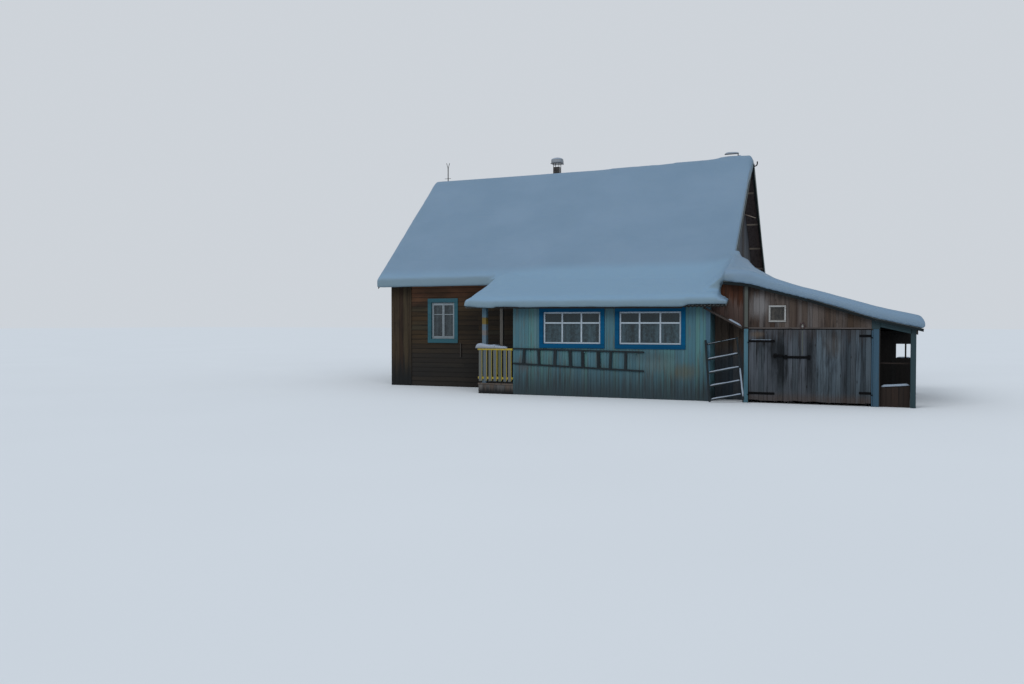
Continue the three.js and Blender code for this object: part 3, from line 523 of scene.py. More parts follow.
def wood(name, tones, dirt, dirty=0.5, grain="z", damp=None, extra=None, knots=0.5):
    """Bare weathered boards. Each has its own tone; damp is the height below which they darken."""
    look = Look(name)
    fine = look.noise(along(grain, 75, 2.6), 4, 0.65, True)
    streak = look.noise(along(grain, 17, 0.9), 4, 0.6, True)
    broad = look.noise(along(grain, 2.1, 0.8), 3, 0.6)
    colour = look.palette(look.island, *[linear(*tone) for tone in tones])
    dirt_share = look.times(look.band(streak, 0.46, 0.72), dirty)
    dirt_share = look.plus(dirt_share, look.times(look.band(broad, 0.55, 0.72), dirty * 0.7))
    colour = look.mix(dirt_share, colour, linear(*dirt))
    knot = look.cells(along(grain, 7, 1.9), True)
    colour = look.stained(colour, look.band(knot, 0.12, 0.05), knots, (24, 19, 16))
    colour = look.shade(colour, fine, 0.55, 1.35)
    if damp:
        wet = look.plus(look.axis("Z"), look.times(streak, -damp * 0.9))
        colour = look.mix(look.band(wet, damp * 0.55, -damp * 0.3), colour, linear(22, 24, 25))
    if extra:
        colour = extra(look, colour, streak, fine)
    height = look.plus(fine, look.times(streak, 0.6))
    return look.done(colour, look.spread(fine, 0.75, 0.97), height, 0.0035, 0.2)


def painted(name, tones, bare, wear=0.58, grain="z", damp=None, extra=None, rough=(0.55, 0.8), shine=0.35):
    """Old paint over boards: tone by board, worn through along the grain."""
    look = Look(name)
    fine = look.noise(along(grain, 60, 2.0), 4, 0.65, True)
    streak = look.noise(along(grain, 13, 0.55), 4, 0.6, True)
    broad = look.noise((1.3, 1.3, 1.1), 3, 0.6)
    colour = look.palette(look.island, *[linear(*tone) for tone in tones])
    colour = look.shade(colour, streak, 0.6, 1.35)
    worn = look.plus(look.times(streak, 0.5), look.times(fine, 0.32))
    worn = look.band(look.plus(worn, look.times(broad, 0.22)), wear - 0.05, wear + 0.05)
    colour = look.mix(worn, colour, look.shade(linear(*bare), fine, 0.5, 1.5))
    if damp:
        wet = look.plus(look.axis("Z"), look.times(streak, -damp * 1.1))
        colour = look.stained(colour, look.band(wet, damp * 0.45, -damp * 0.45), 0.85, (22, 32, 37))
    if extra:
        colour = extra(look, colour, streak, fine)
    height = look.math("SUBTRACT", look.times(fine, 0.5), worn)
    return look.done(colour, look.spread(worn, *rough), height, 0.0015, shine)


def veranda_stains(look, colour, streak, fine):
    """Rust and bare wood below the right window, grey at the left, and mould along the foot."""
    colour = look.stained(colour, look.spot((2.3, 0.74), (0.6, 0.34)), 0.6, (84, 80, 56), streak, 0.4, 1.5)
    colour = look.stained(colour, look.spot((1.6, 0.95), (0.8, 0.4)), 0.4, (88, 96, 92), fine, 0.3, 1.6)
    colour = look.stained(colour, look.band(look.axis("Z"), 1.5, 0.8), 0.25, (30, 42, 48))
    colour = look.stained(colour, look.spot((-2.2, 0.85), (0.4, 0.35)), 0.55, (66, 64, 66))
    return look.stained(colour, look.spot((1.3, 1.15), (1.4, 0.3)), 0.4, (36, 46, 48))


def gate_tones(look, colour, streak, fine):
    """Dark runs where the two leaves meet and along a second line of boards."""
    for x, reach, share in ((4.68, 0.25, 0.95), (5.35, 0.2, 0.85), (4.45, 0.25, 0.4), (6.2, 0.12, 0.4)):
        colour = look.stained(colour, look.spot((x, 1.1), (reach, 1.3)), share, (9, 13, 17))
    colour = look.stained(colour, look.spot((4.12, 1.72), (0.26, 0.13)), 0.7, (96, 84, 72))
    head = look.band(look.plus(look.axis("Z"), streak), 1.95, 2.3)
    colour = look.stained(colour, head, 0.35, (46, 36, 30), fine, 0.5, 1.5)
    colour = look.stained(colour, look.spot((5.9, 1.45), (0.35, 0.45)), 0.3, (104, 104, 104), fine, 0.5, 1.4)
    colour = look.stained(colour, look.band(look.axis("Z"), 1.0, 0.3), 0.3, (26, 32, 35))
    return look.stained(colour, look.band(look.axis("Z"), 0.34, 0.12), 0.5, (66, 52, 44))


def upper_tones(look, colour, streak, fine):
    """Pale grey boards left and in the middle, brown ones between and towards the low end."""
    for middle, reach, share, tone in (
        ((4.15, 2.42), (0.4, 0.5), 0.66, (120, 119, 120)),
        ((5.5, 2.3), (0.3, 0.5), 0.3, (92, 84, 80)),
        ((5.05, 2.2), (0.08, 0.9), 0.75, (50, 38, 32)),
        ((6.35, 2.0), (0.5, 0.5), 0.7, (58, 46, 36)),
    ):
        colour = look.stained(colour, look.spot(middle, reach), share, tone, streak, 0.45, 1.4)
    return colour


def red_tones(look, colour, streak, fine):
    """Paler and greyer boards low in the recess."""
    low = look.band(look.plus(look.axis("Z"), streak), 3.15, 2.9)
    return look.stained(colour, low, 0.6, (92, 80, 76), fine, 0.4, 1.5)


def painted_niche_shade(look, colour, streak, fine):
    """Painted shade: bluish and dark low in the recess."""
    # Painted shade, darker towards the foot of the niche
    low = look.band(look.plus(look.axis("Z"), streak), 2.1, 1.4)
    return look.stained(colour, low, 0.75, (43, 57, 67), fine, 0.4, 1.6)


def clapboard_tone(look, colour, streak, fine):
    """Redder under the eave, darker and greyer towards the ground. Painted shade darkens the walls right of
    about x -5.3 below about 3 m, and a painted shadow lies under each lap.
    """
    height = look.axis("Z")
    patchy = look.plus(height, look.noise((0.7, 0.7, 1.6), 3, 0.6))
    colour = look.stained(colour, look.band(patchy, 3.0, 3.9), 0.7, (122, 80, 58), fine, 0.6, 1.4)
    colour = look.stained(colour, look.band(patchy, 2.4, 1.2), 0.74, (29, 29, 29), fine, 0.7, 1.5)
    # Painted shade where the porch and veranda roofs hang over the walls: right of about x -5.3 and below
    # about 3 m
    painted_veranda_shade = look.times(look.band(look.axis("X"), -5.3, -4.3), look.band(height, 3.1, 2.8))
    colour = look.stained(colour, painted_veranda_shade, 0.42, (10, 10, 9))
    # A painted shadow: a dark line at the top of each course, under the lap of the board above
    lap_shadow_place = look.math("FRACT", look.math("DIVIDE", look.math("SUBTRACT", height, 0.02), COURSE))
    return look.stained(colour, look.band(lap_shadow_place, 0.80, 0.97), 0.65, (10, 9, 8))


def post_bands(look, colour, streak, fine):
    """The porch posts' old coats of paint, one above the other."""
    height = look.plus(look.axis("Z"), look.times(streak, 0.05))
    orange = look.times(look.band(height, 1.97, 2.01), look.band(height, 2.2, 2.16))
    colour = look.mix(orange, colour, look.palette(streak, linear(96, 66, 22), linear(96, 94, 30)))
    tint = look.times(look.band(height, 1.66, 1.7), look.band(height, 1.84, 1.8))
    colour = look.stained(colour, tint, 0.6, (104, 88, 74))
    return look.mix(look.band(height, 2.18, 2.22), colour, look.shade(linear(72, 101, 116), fine, 0.7, 1.2))


def snow_look(name, tone, low_tone, near=None):
    """Snow, with painted shade where it stands upright. Near is the tone of the lower roof in front, painted
    lighter and bluer where that shallower snow faces more of the sky.
    """
    look = Look(name)
    soft = look.noise((0.5, 0.5, 0.9), 3, 0.5)
    grain = look.noise((95, 95, 95), 3, 0.7)
    lumps = look.noise((7, 7, 9), 4, 0.55)
    colour = look.mix(look.band(soft, 0.3, 0.7), linear(*low_tone), linear(*tone))
    # Painted light: the veranda's shallower snow in front, left of the shed, gets the lighter and bluer near
    # tone
    if near:
        front = look.times(look.band(look.axis("Y"), -2.7, -3.2), look.band(look.axis("X"), 3.4, 3.0))
        colour = look.mix(front, colour, linear(*near))
    # Painted shade: upright faces of the snow are made darker and greyer, in full left of x 3.2 and a third
    # as much over the shed
    normal = look.node("ShaderNodeTexCoord").outputs["Normal"]
    painted_upright_shade = look.band(look.node("ShaderNodeSeparateXYZ", {"Vector": normal}).outputs["Z"], 0.55, 0.0)
    left = look.plus(look.times(look.band(look.axis("X"), 3.7, 3.2), 0.65), 0.35)
    colour = look.mix(look.times(painted_upright_shade, left), colour, (0.88, 0.80, 0.70, 1), "MULTIPLY")
    colour = look.shade(colour, grain, 0.94, 1.06)
    for key, amount in (("Weight", 0.12), ("Radius", (0.03, 0.04, 0.06)), ("Scale", 1.0)):
        look.shader.inputs[f"Subsurface {key}"].default_value = amount
    return look.done(colour, 0.62, look.plus(look.times(grain, 0.25), lumps), 0.006, 0.35)


def glass_look(name, dark, light, dim_from=None):
    """A pane with a hanging net curtain behind it: folds and a lace pattern in grey."""
    look = Look(name)
    folds = look.noise((9, 9, 0.5), 2, 0.5)
    mottle = look.noise((16, 16, 12), 5, 0.75)
    tone = look.plus(look.times(folds, 0.45), look.times(mottle, 0.55))
    tone = look.plus(tone, look.times(look.band(look.cells((34, 34, 34)), 0.5, 0.1), 0.1))
    colour = look.palette(look.band(tone, 0.36, 0.68), linear(*dark), linear(*light))
    if dim_from:
        colour = look.stained(colour, look.band(look.axis("Z"), dim_from, dim_from + 0.03), 0.78, (3, 24, 28))
    return look.done(colour, 0.14, None, 0.0, 0.45)


def sheet_look(name, *tones):
    look = Look(name)
    mottle = look.noise((6, 6, 6), 5, 0.7)
    colour = look.palette(mottle, *[linear(*tone) for tone in tones])
    colour = look.stained(colour, look.band(look.cells((45, 45, 45)), 0.22, 0.08), 0.4, (40, 46, 38))
    return look.done(colour, 0.93, mottle, 0.002, 0.2)


def iron_look(name, tone, rust, metallic, shine=0.5):
    look = Look(name)
    spots = look.noise((28, 28, 28), 5, 0.7)
    colour = look.mix(look.band(spots, 0.5, 0.66), linear(*tone), linear(*rust))
    look.shader.inputs["Metallic"].default_value = metallic
    return look.done(colour, look.band(spots, 0.2, 1.1), spots, 0.001, shine)


LOOKS = {}


def looks(slot, make, **rows):
    """Adds the looks of one slot. Each has a name, and its values for the function that makes it."""
    for name, values in rows.items():
        LOOKS[name] = (make(name, *values), slot)


looks(
    "logs", wood,
    clapboards=(
        [(30, 25, 19), (52, 40, 25), (36, 30, 22), (56, 43, 27), (49, 45, 34), (42, 31, 22)],
        (20, 17, 14), 0.7, "x", None, clapboard_tone,
    ),
    side_clapboards=(
        [(40, 32, 26), (62, 46, 33), (46, 36, 28)], (22, 19, 17), 0.6, "y", None, clapboard_tone,
    ),
    corner_boards=([(70, 44, 30), (46, 36, 27), (60, 52, 38), (42, 29, 21)], (24, 18, 15), 0.75, "z", 1.25),
)
looks(
    "grey_boards", wood,
    grey_boards=(
        [(76, 80, 84), (96, 94, 92), (66, 66, 66), (88, 78, 70), (70, 76, 82)], (32, 32, 34), 0.5, "z", 0.25,
    ),
    upper_boards=(
        [(89, 82, 79), (77, 68, 62), (65, 53, 45), (83, 77, 74), (55, 43, 36), (85, 81, 80)],
        (30, 25, 23), 0.8, "z", None, upper_tones, 0.8,
    ),
    gate_boards=(
        [(68, 79, 88), (80, 91, 99), (50, 59, 66), (75, 80, 87), (59, 66, 72)],
        (18, 21, 24), 0.85, "z", None, gate_tones, 0.9,
    ),
    gable_boards=([(75, 80, 86), (66, 68, 73), (50, 42, 36), (81, 84, 90)], (40, 40, 42)),
    pent_boards=([(66, 58, 56), (54, 48, 46)], (30, 27, 26), 0.5, "x"),
    pale_battens=([(150, 138, 126), (136, 124, 112)], (80, 72, 66), 0.4, "x"),
    beams=([(70, 66, 63), (56, 52, 50), (80, 75, 70)], (28, 25, 23), 0.5, "x"),
    worn_beam=([(82, 76, 74), (66, 60, 58)], (32, 29, 28), 0.5, "x"),
    rafters=([(58, 52, 46), (44, 40, 37)], (28, 25, 23), 0.5, "y"),
)
looks(
    "red_boards", wood,
    red_boards=([(66, 41, 30), (50, 34, 27), (80, 47, 31)], (28, 21, 17), 0.6, "z", None, red_tones),
)
looks(
    "dark_boards", wood,
    dark_boards=([(44, 40, 38), (34, 32, 31), (54, 46, 42)], (20, 19, 19)),
    brown_boards=(
        [(68, 57, 49), (38, 34, 32), (98, 86, 76), (44, 38, 34)], (22, 19, 18), 0.6, "z", None, painted_niche_shade
    ),
    low_brown_boards=([(38, 30, 27), (30, 26, 24), (44, 34, 29)], (18, 16, 15)),
    blackened_wood=([(30, 38, 42), (24, 31, 35), (36, 44, 48)], (15, 18, 20)),
    # Near-black boards: painted shade inside the open bay, and on the drip edge a dark sheet edge with the
    # painted shadow under the snow
    inner_boards=([(24, 23, 23), (18, 18, 18), (28, 24, 22)], (12, 12, 12)),
    eave_boarding=([(98, 84, 80), (72, 64, 64), (88, 78, 76), (60, 58, 62)], (44, 36, 34), 0.6, "y"),
    edge_boards=([(19, 28, 31), (15, 22, 25)], (9, 12, 13), 0.5, "x"),
)
looks(
    "turquoise_boards", painted,
    turquoise_boards=(
        [(62, 101, 111), (54, 94, 106), (66, 108, 108), (58, 101, 115), (72, 106, 112)],
        (72, 80, 78), 0.58, "z", 1.0, veranda_stains,
    ),
    turquoise_side=([(62, 101, 111), (54, 94, 106), (70, 106, 112)], (70, 80, 80), 0.58, "z", 0.7),
    corner_paint=([(46, 80, 98), (50, 85, 102)], (58, 68, 72), 0.58, "z", 1.0),
)
looks(
    "post_paint", painted,
    back_post_paint=([(90, 88, 82), (94, 90, 84)], (74, 68, 60), 0.64),
    post_paint=([(63, 103, 117), (58, 96, 110)], (74, 84, 86), 0.64),
    far_post_paint=([(41, 72, 91), (38, 68, 86)], (62, 70, 74), 0.64),
    pale_post_paint=([(74, 76, 70), (64, 70, 66)], (62, 60, 56), 0.6),
    dark_teal_paint=([(26, 52, 58), (22, 46, 52)], (40, 48, 50), 0.64),
    porch_post_paint=([(72, 91, 105), (76, 95, 108)], (74, 74, 70), 0.66, "z", None, post_bands),
)
looks(
    "white_paint", painted,
    white_paint=([(146, 158, 168), (154, 166, 176)], (110, 112, 110), 0.7, "x", None, None, (0.4, 0.7)),
    old_white_paint=([(122, 132, 138), (112, 122, 128)], (84, 90, 92), 0.62, "x"),
    worn_white=([(150, 152, 152), (136, 136, 134)], (92, 88, 82), 0.56, "x"),
)
looks(
    "railing_paint", painted,
    yellow_paint=([(150, 138, 48), (158, 138, 44)], (110, 100, 66), 0.66),
    slat_paint=([(76, 84, 88), (64, 76, 77), (86, 88, 88), (71, 77, 64)], (72, 72, 62), 0.62),
)
looks(
    "blue_paint", painted,
    blue_paint=([(2, 71, 106), (3, 64, 98)], (16, 55, 75), 0.7, "x", None, None, (0.8, 0.95), 0.08),
)
looks(
    "teal_paint", painted,
    teal_paint=(
        [(34, 78, 90), (42, 86, 95), (28, 70, 82)], (56, 72, 76), 0.62, "x", None, None, (0.55, 0.8), 0.2,
    ),
)
looks("grey_boards", painted, green_paint=([(16, 37, 32), (14, 33, 28)], (36, 44, 40), 0.66, "y"))
looks(
    "snow", snow_look,
    # Painted shade: the blanket's snow is given the blue grey of snow lying in shade, not the near white of
    # lit snow
    snow=((109, 133, 155), (103, 128, 150), (112, 142, 166)),
    small_snow=((136, 148, 164), (128, 142, 158)),
)
looks(
    "glass", glass_look,
    window_glass=((17, 28, 31), (52, 72, 80), 1.99),
    left_window_glass=((20, 28, 31), (56, 66, 70)),
    shed_glass=((14, 14, 14), (62, 58, 52)),
)
looks("roof_sheets", sheet_look, roof_sheets=((46, 50, 50), (84, 88, 88), (60, 62, 58)))
looks(
    "dark_iron", iron_look,
    dark_iron=((7, 8, 10), (17, 15, 15), 0.0, 0.06),
    ring_iron=((52, 34, 34), (70, 44, 42), 0.2),
    sooty_iron=((30, 28, 27), (70, 66, 62), 0.3),
)


# The log block


def log_walls():
    eaves = main_under(HOUSE_Y[0]) - 0.003
    inside = (HOUSE_Y[0] + WALL, HOUSE_Y[1] - WALL)
    back, left = ([hole(u, *FRONT_WINDOW[1:]) for u in row.values()] for row in (BACK_WINDOWS, SIDE_WINDOWS))
    front = [hole(*FRONT_WINDOW), ((0.40, 1.25), (0.45, 2.35))]
    for side, plane, holes, core, span, top, look in (
        ("front", HOUSE_Y[0], front, HOUSE_X, HOUSE_X, eaves, "clapboards"),
        ("back", HOUSE_Y[1], back, HOUSE_X, HOUSE_X, eaves, "clapboards"),
        ("left", HOUSE_X[0], left, inside, HOUSE_Y, LOG_TOP - 0.01, "side_clapboards"),
        ("right", HOUSE_X[1], [], inside, HOUSE_Y, LOG_TOP - 0.01, "side_clapboards"),
    ):
        shape = Shape(facing(side, plane)).boards(core, 0.0, top, (-WALL, 0.0), holes=holes, gap=0)
        shape.laps(span, (0.02, top), 0.145, holes)
        made(f"clapboards_{side}", shape, look, f"log_wall_{side}", bevel=0.002)


def corner_boards():
    """The boxed corners over the ends of the logs."""
    shape = Shape()
    span, top = (HOUSE_X[0] - 0.01, HOUSE_X[0] + 0.726), main_under(HOUSE_Y[0]) - 0.02
    for side, plane in (("front", HOUSE_Y[0]), ("back", HOUSE_Y[1])):
        shape.on(facing(side, plane)).boards(span, 0.0, top, (0.0, 0.034), 0.15, uneven=0.004, gap=0.005)
    shape.on(facing("left", HOUSE_X[0]))
    for span in ((HOUSE_Y[0], HOUSE_Y[0] + 0.45), (HOUSE_Y[1] - 0.45, HOUSE_Y[1])):
        shape.boards(span, 0.0, LOG_TOP, (0.0, 0.012), 0.15, uneven=0.003, gap=0.005)
    made("corner_boards", shape, "corner_boards")


def gables():
    span, rake = (HOUSE_Y[0] + 0.02, HOUSE_Y[1] - 0.02), over(main_under, -0.004)
    for side, plane, nodes in (("left", HOUSE_X[0], ()), ("right", HOUSE_X[1], ("gable_boards_right",))):
        shape = Shape(facing(side, plane))
        shape.boards(span, LOG_TOP, rake, (-0.04, 0.0), 0.135, keys=(RIDGE_Y,), uneven=0.005)
        made(f"gable_{side}", shape, "gable_boards", *nodes, bevel=0.002)


def main_roof():
    """Sheets, and below them the battens, the boarding of the overhangs and the rafters' tails."""
    reach = RIDGE_Y - EAVE_Y
    for side, sign in (("front", -1), ("back", 1)):
        across = (ROOF_X[0], ROOF_X[1] - 0.035) if sign < 0 else ROOF_X
        rows = [RIDGE_Y + sign * far for far in (0.002, 2.0, reach)]
        shape = Shape().sheet(across, rows, over(main_under, SLAB))
        sheets(f"roof_sheets_{side}", shape, "roof_sheets", f"main_roof_{side}")

        def depth(near, far):
            return sorted((RIDGE_Y + sign * near, RIDGE_Y + sign * far))

        battens, under, rafters = Shape(), Shape(), Shape()
        for near in (3.86, 3.17, 2.47, 1.67, 0.68):
            ends = (ROOF_X[0] + chance.uniform(0.0, 0.03), ROOF_X[1] - chance.uniform(0.04, 0.05))
            battens.box(ends, depth(near, near + 0.035), between(main_under, 0.001, 0.03))
        made(f"battens_{side}", battens, "pale_battens")
        for ends in ((ROOF_X[0] + 0.024, HOUSE_X[0]), (HOUSE_X[1], ROOF_X[1] - 0.05)):
            for a, b in cuts(ends, (), 0.13):
                board = (a + 0.002, b - 0.002)
                under.box(board, depth(0.01, reach - 0.01), between(main_under, 0.031, 0.044))
        made(f"boarding_{side}", under, "eave_boarding", bevel=0)
        for k in range(12):
            x = -7.1 + k * 0.92
            tail = depth(RIDGE_Y - HOUSE_Y[0] + 0.02, reach - 0.03)
            rafters.box((x, x + 0.06), tail, between(main_under, -0.10, -0.001))
        made(f"rafter_tails_{side}", rafters, "rafters")


def barge_boards():
    """The verges' boards. At the back right they stand up past the sheets towards the ridge."""
    plain = ((0.0, 0.0), (0.044, 0.044))
    halves = ((EAVE_Y, RIDGE_Y - 0.001), (RIDGE_Y + 0.001, 2 * RIDGE_Y - EAVE_Y))
    for side, x, look, back in (
        ("right", 3.24, "green_paint", ((0.08, 0.05), (0.20, 0.05))),
        ("left", -7.869, "dark_boards", plain),
    ):
        shape = Shape()
        for ys, (outs, tops) in zip(halves, (plain, back)):
            edge = list(zip(ys, outs, tops))
            sides = ((0.0, edge), (0.022, edge[::-1]))
            ring = [(x + d + wide, y, t) for wide, row in sides for y, d, t in row]
            low = [(p, q, main_under(q) - 0.10) for p, q, _ in ring]
            shape.add(low + [(p, q, main_under(q) + t) for p, q, t in ring], HEXA)
        made(f"barge_boards_{side}", shape, look, slot="grey_boards")
    tie = Shape().rod((2.93, 6.551, 5.536), (3.235, 6.79, 5.437), 0.015, 8)
    made("verge_tie", tie, "pale_battens", smooth=True)


# Windows


def sash(opening, border=0.05, bar=0.042, cross=0.65):
    """A frame with two upright bars and a cross bar."""
    x, z, width, height = opening
    (u0, u1), (z0, z1) = hole(x, z, width - 0.002, height - 0.002)
    out, middle = (-0.06, -0.015), z0 + cross * height
    shape = Shape(FRONT).rim(((u0, u1), (z0, z1)), border, out)
    inside = (u0 + border, u1 - border)
    shape.slab(inside, (out[0] + 0.004, out[1] - 0.004), middle - bar / 2, middle + bar / 2)
    for share in (1 / 3, 2 / 3):
        u = u0 + share * (u1 - u0)
        shape.slab((u - bar / 2, u + bar / 2), out, z0 + border, z1 - border)
    return shape


def casements(at, x, z, width, height, cross=0.67, stile=0.034):
    """Two opening leaves in a fixed frame, each with its own stiles and one thin cross bar."""
    (u0, u1), (z0, z1) = hole(x, z, width - 0.002, height - 0.002)
    shape = Shape(at).rim(((u0, u1), (z0, z1)), 0.035, (-0.07, -0.008))
    middle, level = (u0 + u1) / 2, z0 + cross * height
    for a, b in ((u0 + 0.037, middle - 0.002), (middle + 0.002, u1 - 0.037)):
        shape.rim(((a, b), (z0 + 0.037, z1 - 0.037)), (stile, 0.053), (-0.062, -0.02))
        shape.slab((a + stile, b - stile), (-0.052, -0.026), level - 0.012, level + 0.012)
    return shape


def pane(name, at, opening, back, nodes=(), look="window_glass", play=0.01):
    x, z, width, height = opening
    u, (z0, z1) = hole(x, z, width - play, height - play)
    made(name, Shape(at).slab(u, (back - 0.004, back), z0, z1), look, *nodes, bevel=0.001)


def house_window(names, at, u, nodes, board=0.11, paint="white_paint", glass="window_glass"):
    """A casing, two leaves and a pane of the front window's size."""
    opening = (u, *FRONT_WINDOW[1:])
    made(names[0], Shape(at).casing(opening, board, 0.034).reveal(opening, 0.09), "teal_paint", *nodes[:1])
    made(names[1], casements(at, *opening), paint, *nodes[1:2])
    pane(names[2], at, opening, -0.045, nodes[2:], glass)


def windows():
    names = [f"window_{part}" for part in ("casing", "sash", "pane")]
    nodes = [f"front_window_{part}" for part in ("casing", "sash", "glass")]
    front = facing("front", HOUSE_Y[0])
    house_window(names, front, FRONT_WINDOW[0], nodes, 0.125, "old_white_paint", "left_window_glass")
    made("wall_strip", Shape().box((-5.12, -5.095), (1.925, 1.963), (0.94, 1.38)), "beams", bevel=0.004)
    unseen = [(f"back_window_{k}", facing("back", HOUSE_Y[1]), x) for k, x in BACK_WINDOWS.items()]
    unseen += [(f"side_window_{k}", facing("left", HOUSE_X[0]), y) for k, y in SIDE_WINDOWS.items()]
    for node, at, u in unseen:
        house_window([f"{node}_{part}" for part in ("frame", "leaves", "pane")], at, u, [node])


# The veranda


def veranda_walls():
    """Each wall is a plain core behind its boards. Three pegs carry the long ladder."""
    core, skin, top = (-VERANDA_WALL, -0.026), (-0.024, 0.0), veranda_under(0) - 0.003
    holes = [hole(*opening) for opening in VERANDA_WINDOWS.values()]
    shape = Shape(FRONT).boards(VERANDA_X, 0.0, top, core, holes=holes, gap=0)
    shape.boards(VERANDA_X, 0.0, top, skin, 0.092, holes, gap=0.004, uneven=0.003)
    for x in (-2.0, -0.4, 1.0):
        z = wall_ladder_z(x, "top") - 0.033
        shape.box((x - 0.012, x + 0.012), (-0.068, 0.0), (z - 0.028, z))
    made("veranda_boards_front", shape, "turquoise_boards", "veranda_wall_front", bevel=0.002)
    shape = Shape(FRONT).boards((VERANDA_X[1] - 0.115, VERANDA_X[1]), 0.0, top - 0.01, (0.001, 0.022))
    made("veranda_corner_boards", shape, "corner_paint")
    rake, end = over(veranda_under, -0.004), HOUSE_Y[0] - 0.02
    for side, x, holes in (("left", VERANDA_X[0], [hole(*DOOR)]), ("right", VERANDA_X[1], [])):
        shape = Shape(facing(side, x)).boards((VERANDA_WALL, end), 0.0, rake, core, holes=holes, gap=0)
        shape.boards((0.0, end), 0.0, rake, skin, 0.1, holes, gap=0.004, uneven=0.003)
        made(f"veranda_boards_{side}", shape, "turquoise_side", f"veranda_wall_{side}", bevel=0.002)


def porch_door():
    at = facing("left", VERANDA_X[0])
    shape = Shape(at).boards((0.605, 1.395), 0.305, 2.195, (-0.06, -0.022), 0.13, gap=0.004)
    for z in (0.55, 1.2, 1.9):
        shape.slab((0.64, 1.36), (-0.023, -0.006), z, z + 0.09)
    made("door_boards", shape, "turquoise_side", "porch_door")
    handle = Shape(at).slab((1.295, 1.335), (-0.023, -0.018), 1.18, 1.37)
    for z in (1.20, 1.34):
        handle.slab((1.307, 1.323), (-0.019, 0.02), z, z + 0.014)
    handle.slab((1.307, 1.323), (0.01, 0.022), 1.2, 1.354)
    made("door_handle", handle, "dark_iron", bevel=0.002)
    made("door_casing", Shape(at).casing(DOOR, 0.09, 0.02), "blue_paint")


def veranda_roof():
    """Sheets with a longer row at the eave, the drip edge under its snow, and the battens."""
    eave, top = VERANDA_EAVE[0], over(veranda_under, 0.06)
    shape = Shape().sheet((-3.84, 3.15), [eave, 0.8, HOUSE_Y[0] - 0.001], top, pitch=0.076, swing=0.015)
    shape.sheet((3.151, 3.40), [eave, 0.06], top, pitch=0.076, swing=0.015)
    sheets("veranda_sheets", shape, "roof_sheets", "veranda_roof")
    edge, ends = (-0.364, -0.352), (-2.95, 2.295)
    # The drip edge is near black: the sheets' edge with the painted shadow under the snow
    drip = Shape().sheet((2.3, 3.38), edge, 2.462, pitch=0.105, swing=0.015, thin=0.034)
    drip.box(ends, edge, sloped(ends, (2.405, 2.378), 0.0, 0.07))
    sheets("drip_edge", drip, "inner_boards", slot="roof_sheets")
    battens = Shape()
    for y in (-0.30, 0.12, 0.55, 0.98, 1.41, 1.84):
        battens.box((-3.82, 3.13), (y, y + 0.09), between(veranda_under, 0.001, 0.03))
    made("veranda_battens", battens, "beams")


def wall_ladder_z(x, which):
    return line(x, LADDER_X, LADDER_RAILS[which])


def wall_ladder():
    shape = Shape()
    for levels in LADDER_RAILS.values():
        shape.box(LADDER_X, (-0.049, -0.004), sloped(LADDER_X, levels, -0.02, 0.02))
    for x in (-2.18, -1.735, -1.262, -0.818, -0.459, -0.014, 0.316, 0.732):
        lean = chance.uniform(-0.012, 0.012)
        ends = ((-1, wall_ladder_z(x, "low") - 0.01), (1, wall_ladder_z(x, "top") + 0.01))
        half = chance.uniform(0.034, 0.046)
        ring = corners((-half, half), (-0.042, -0.012))
        shape.add([(x + lean * up + a, b, z) for up, z in ends for a, b in ring], HEXA)
    made("long_ladder", shape, "blackened_wood", "wall_ladder", bevel=0.005)


def veranda_windows():
    for side, opening in VERANDA_WINDOWS.items():
        shape = Shape(FRONT).casing(opening, 0.11, 0.027).reveal(opening, 0.09)
        made(f"casing_{side}", shape, "blue_paint", f"veranda_window_{side}_casing")
        made(f"sash_{side}", sash(opening), "white_paint", f"veranda_window_{side}_sash")
        pane(f"veranda_pane_{side}", FRONT, opening, -0.05, ["veranda_glass"])


def floors():
    shape = Shape().planks((-2.41, 2.84), (0.1, FLOOR_END), (0.255, 0.3))
    made("veranda_floor_boards", shape, "beams", "veranda_floor", bevel=0.002)
    dress("beams", "house_floor")


# The porch


def porch():
    low, skin = PORCH_FLOOR[0] - 0.001, (-0.03, 0.0)
    shape = Shape(FRONT).planks((-3.6, PORCH_X[1]), (-0.02, FLOOR_END), PORCH_FLOOR)
    shape.boards(PORCH_X, 0.0, low, skin, 0.12)
    shape.on(facing("left", PORCH_X[0])).boards((0.0, FLOOR_END), 0.0, low, skin, 0.12)
    made("porch_boards", shape, "grey_boards", "porch_floor", bevel=0.002)
    floor, beam, roof = PORCH_FLOOR[1], 2.43, over(veranda_under, -0.003)
    short, tall = (floor, beam), (floor, roof)
    for name, x, y, z, look, node, bevel in (
        ("front_post", (-3.475, -3.35), (0.0, 0.15), short, "porch_post_paint", "porch_post_front", 0.008),
        ("back_post", (-3.465, -3.365), (1.252, 1.352), tall, "back_post_paint", "porch_post_back", 0.006),
        ("front_beam", (-3.8, PORCH_X[1]), (0.0, 0.1), (beam, roof), "beams", "porch_beam", 0.005),
    ):
        made(name, Shape().box(x, y, z), look, node, bevel=bevel)


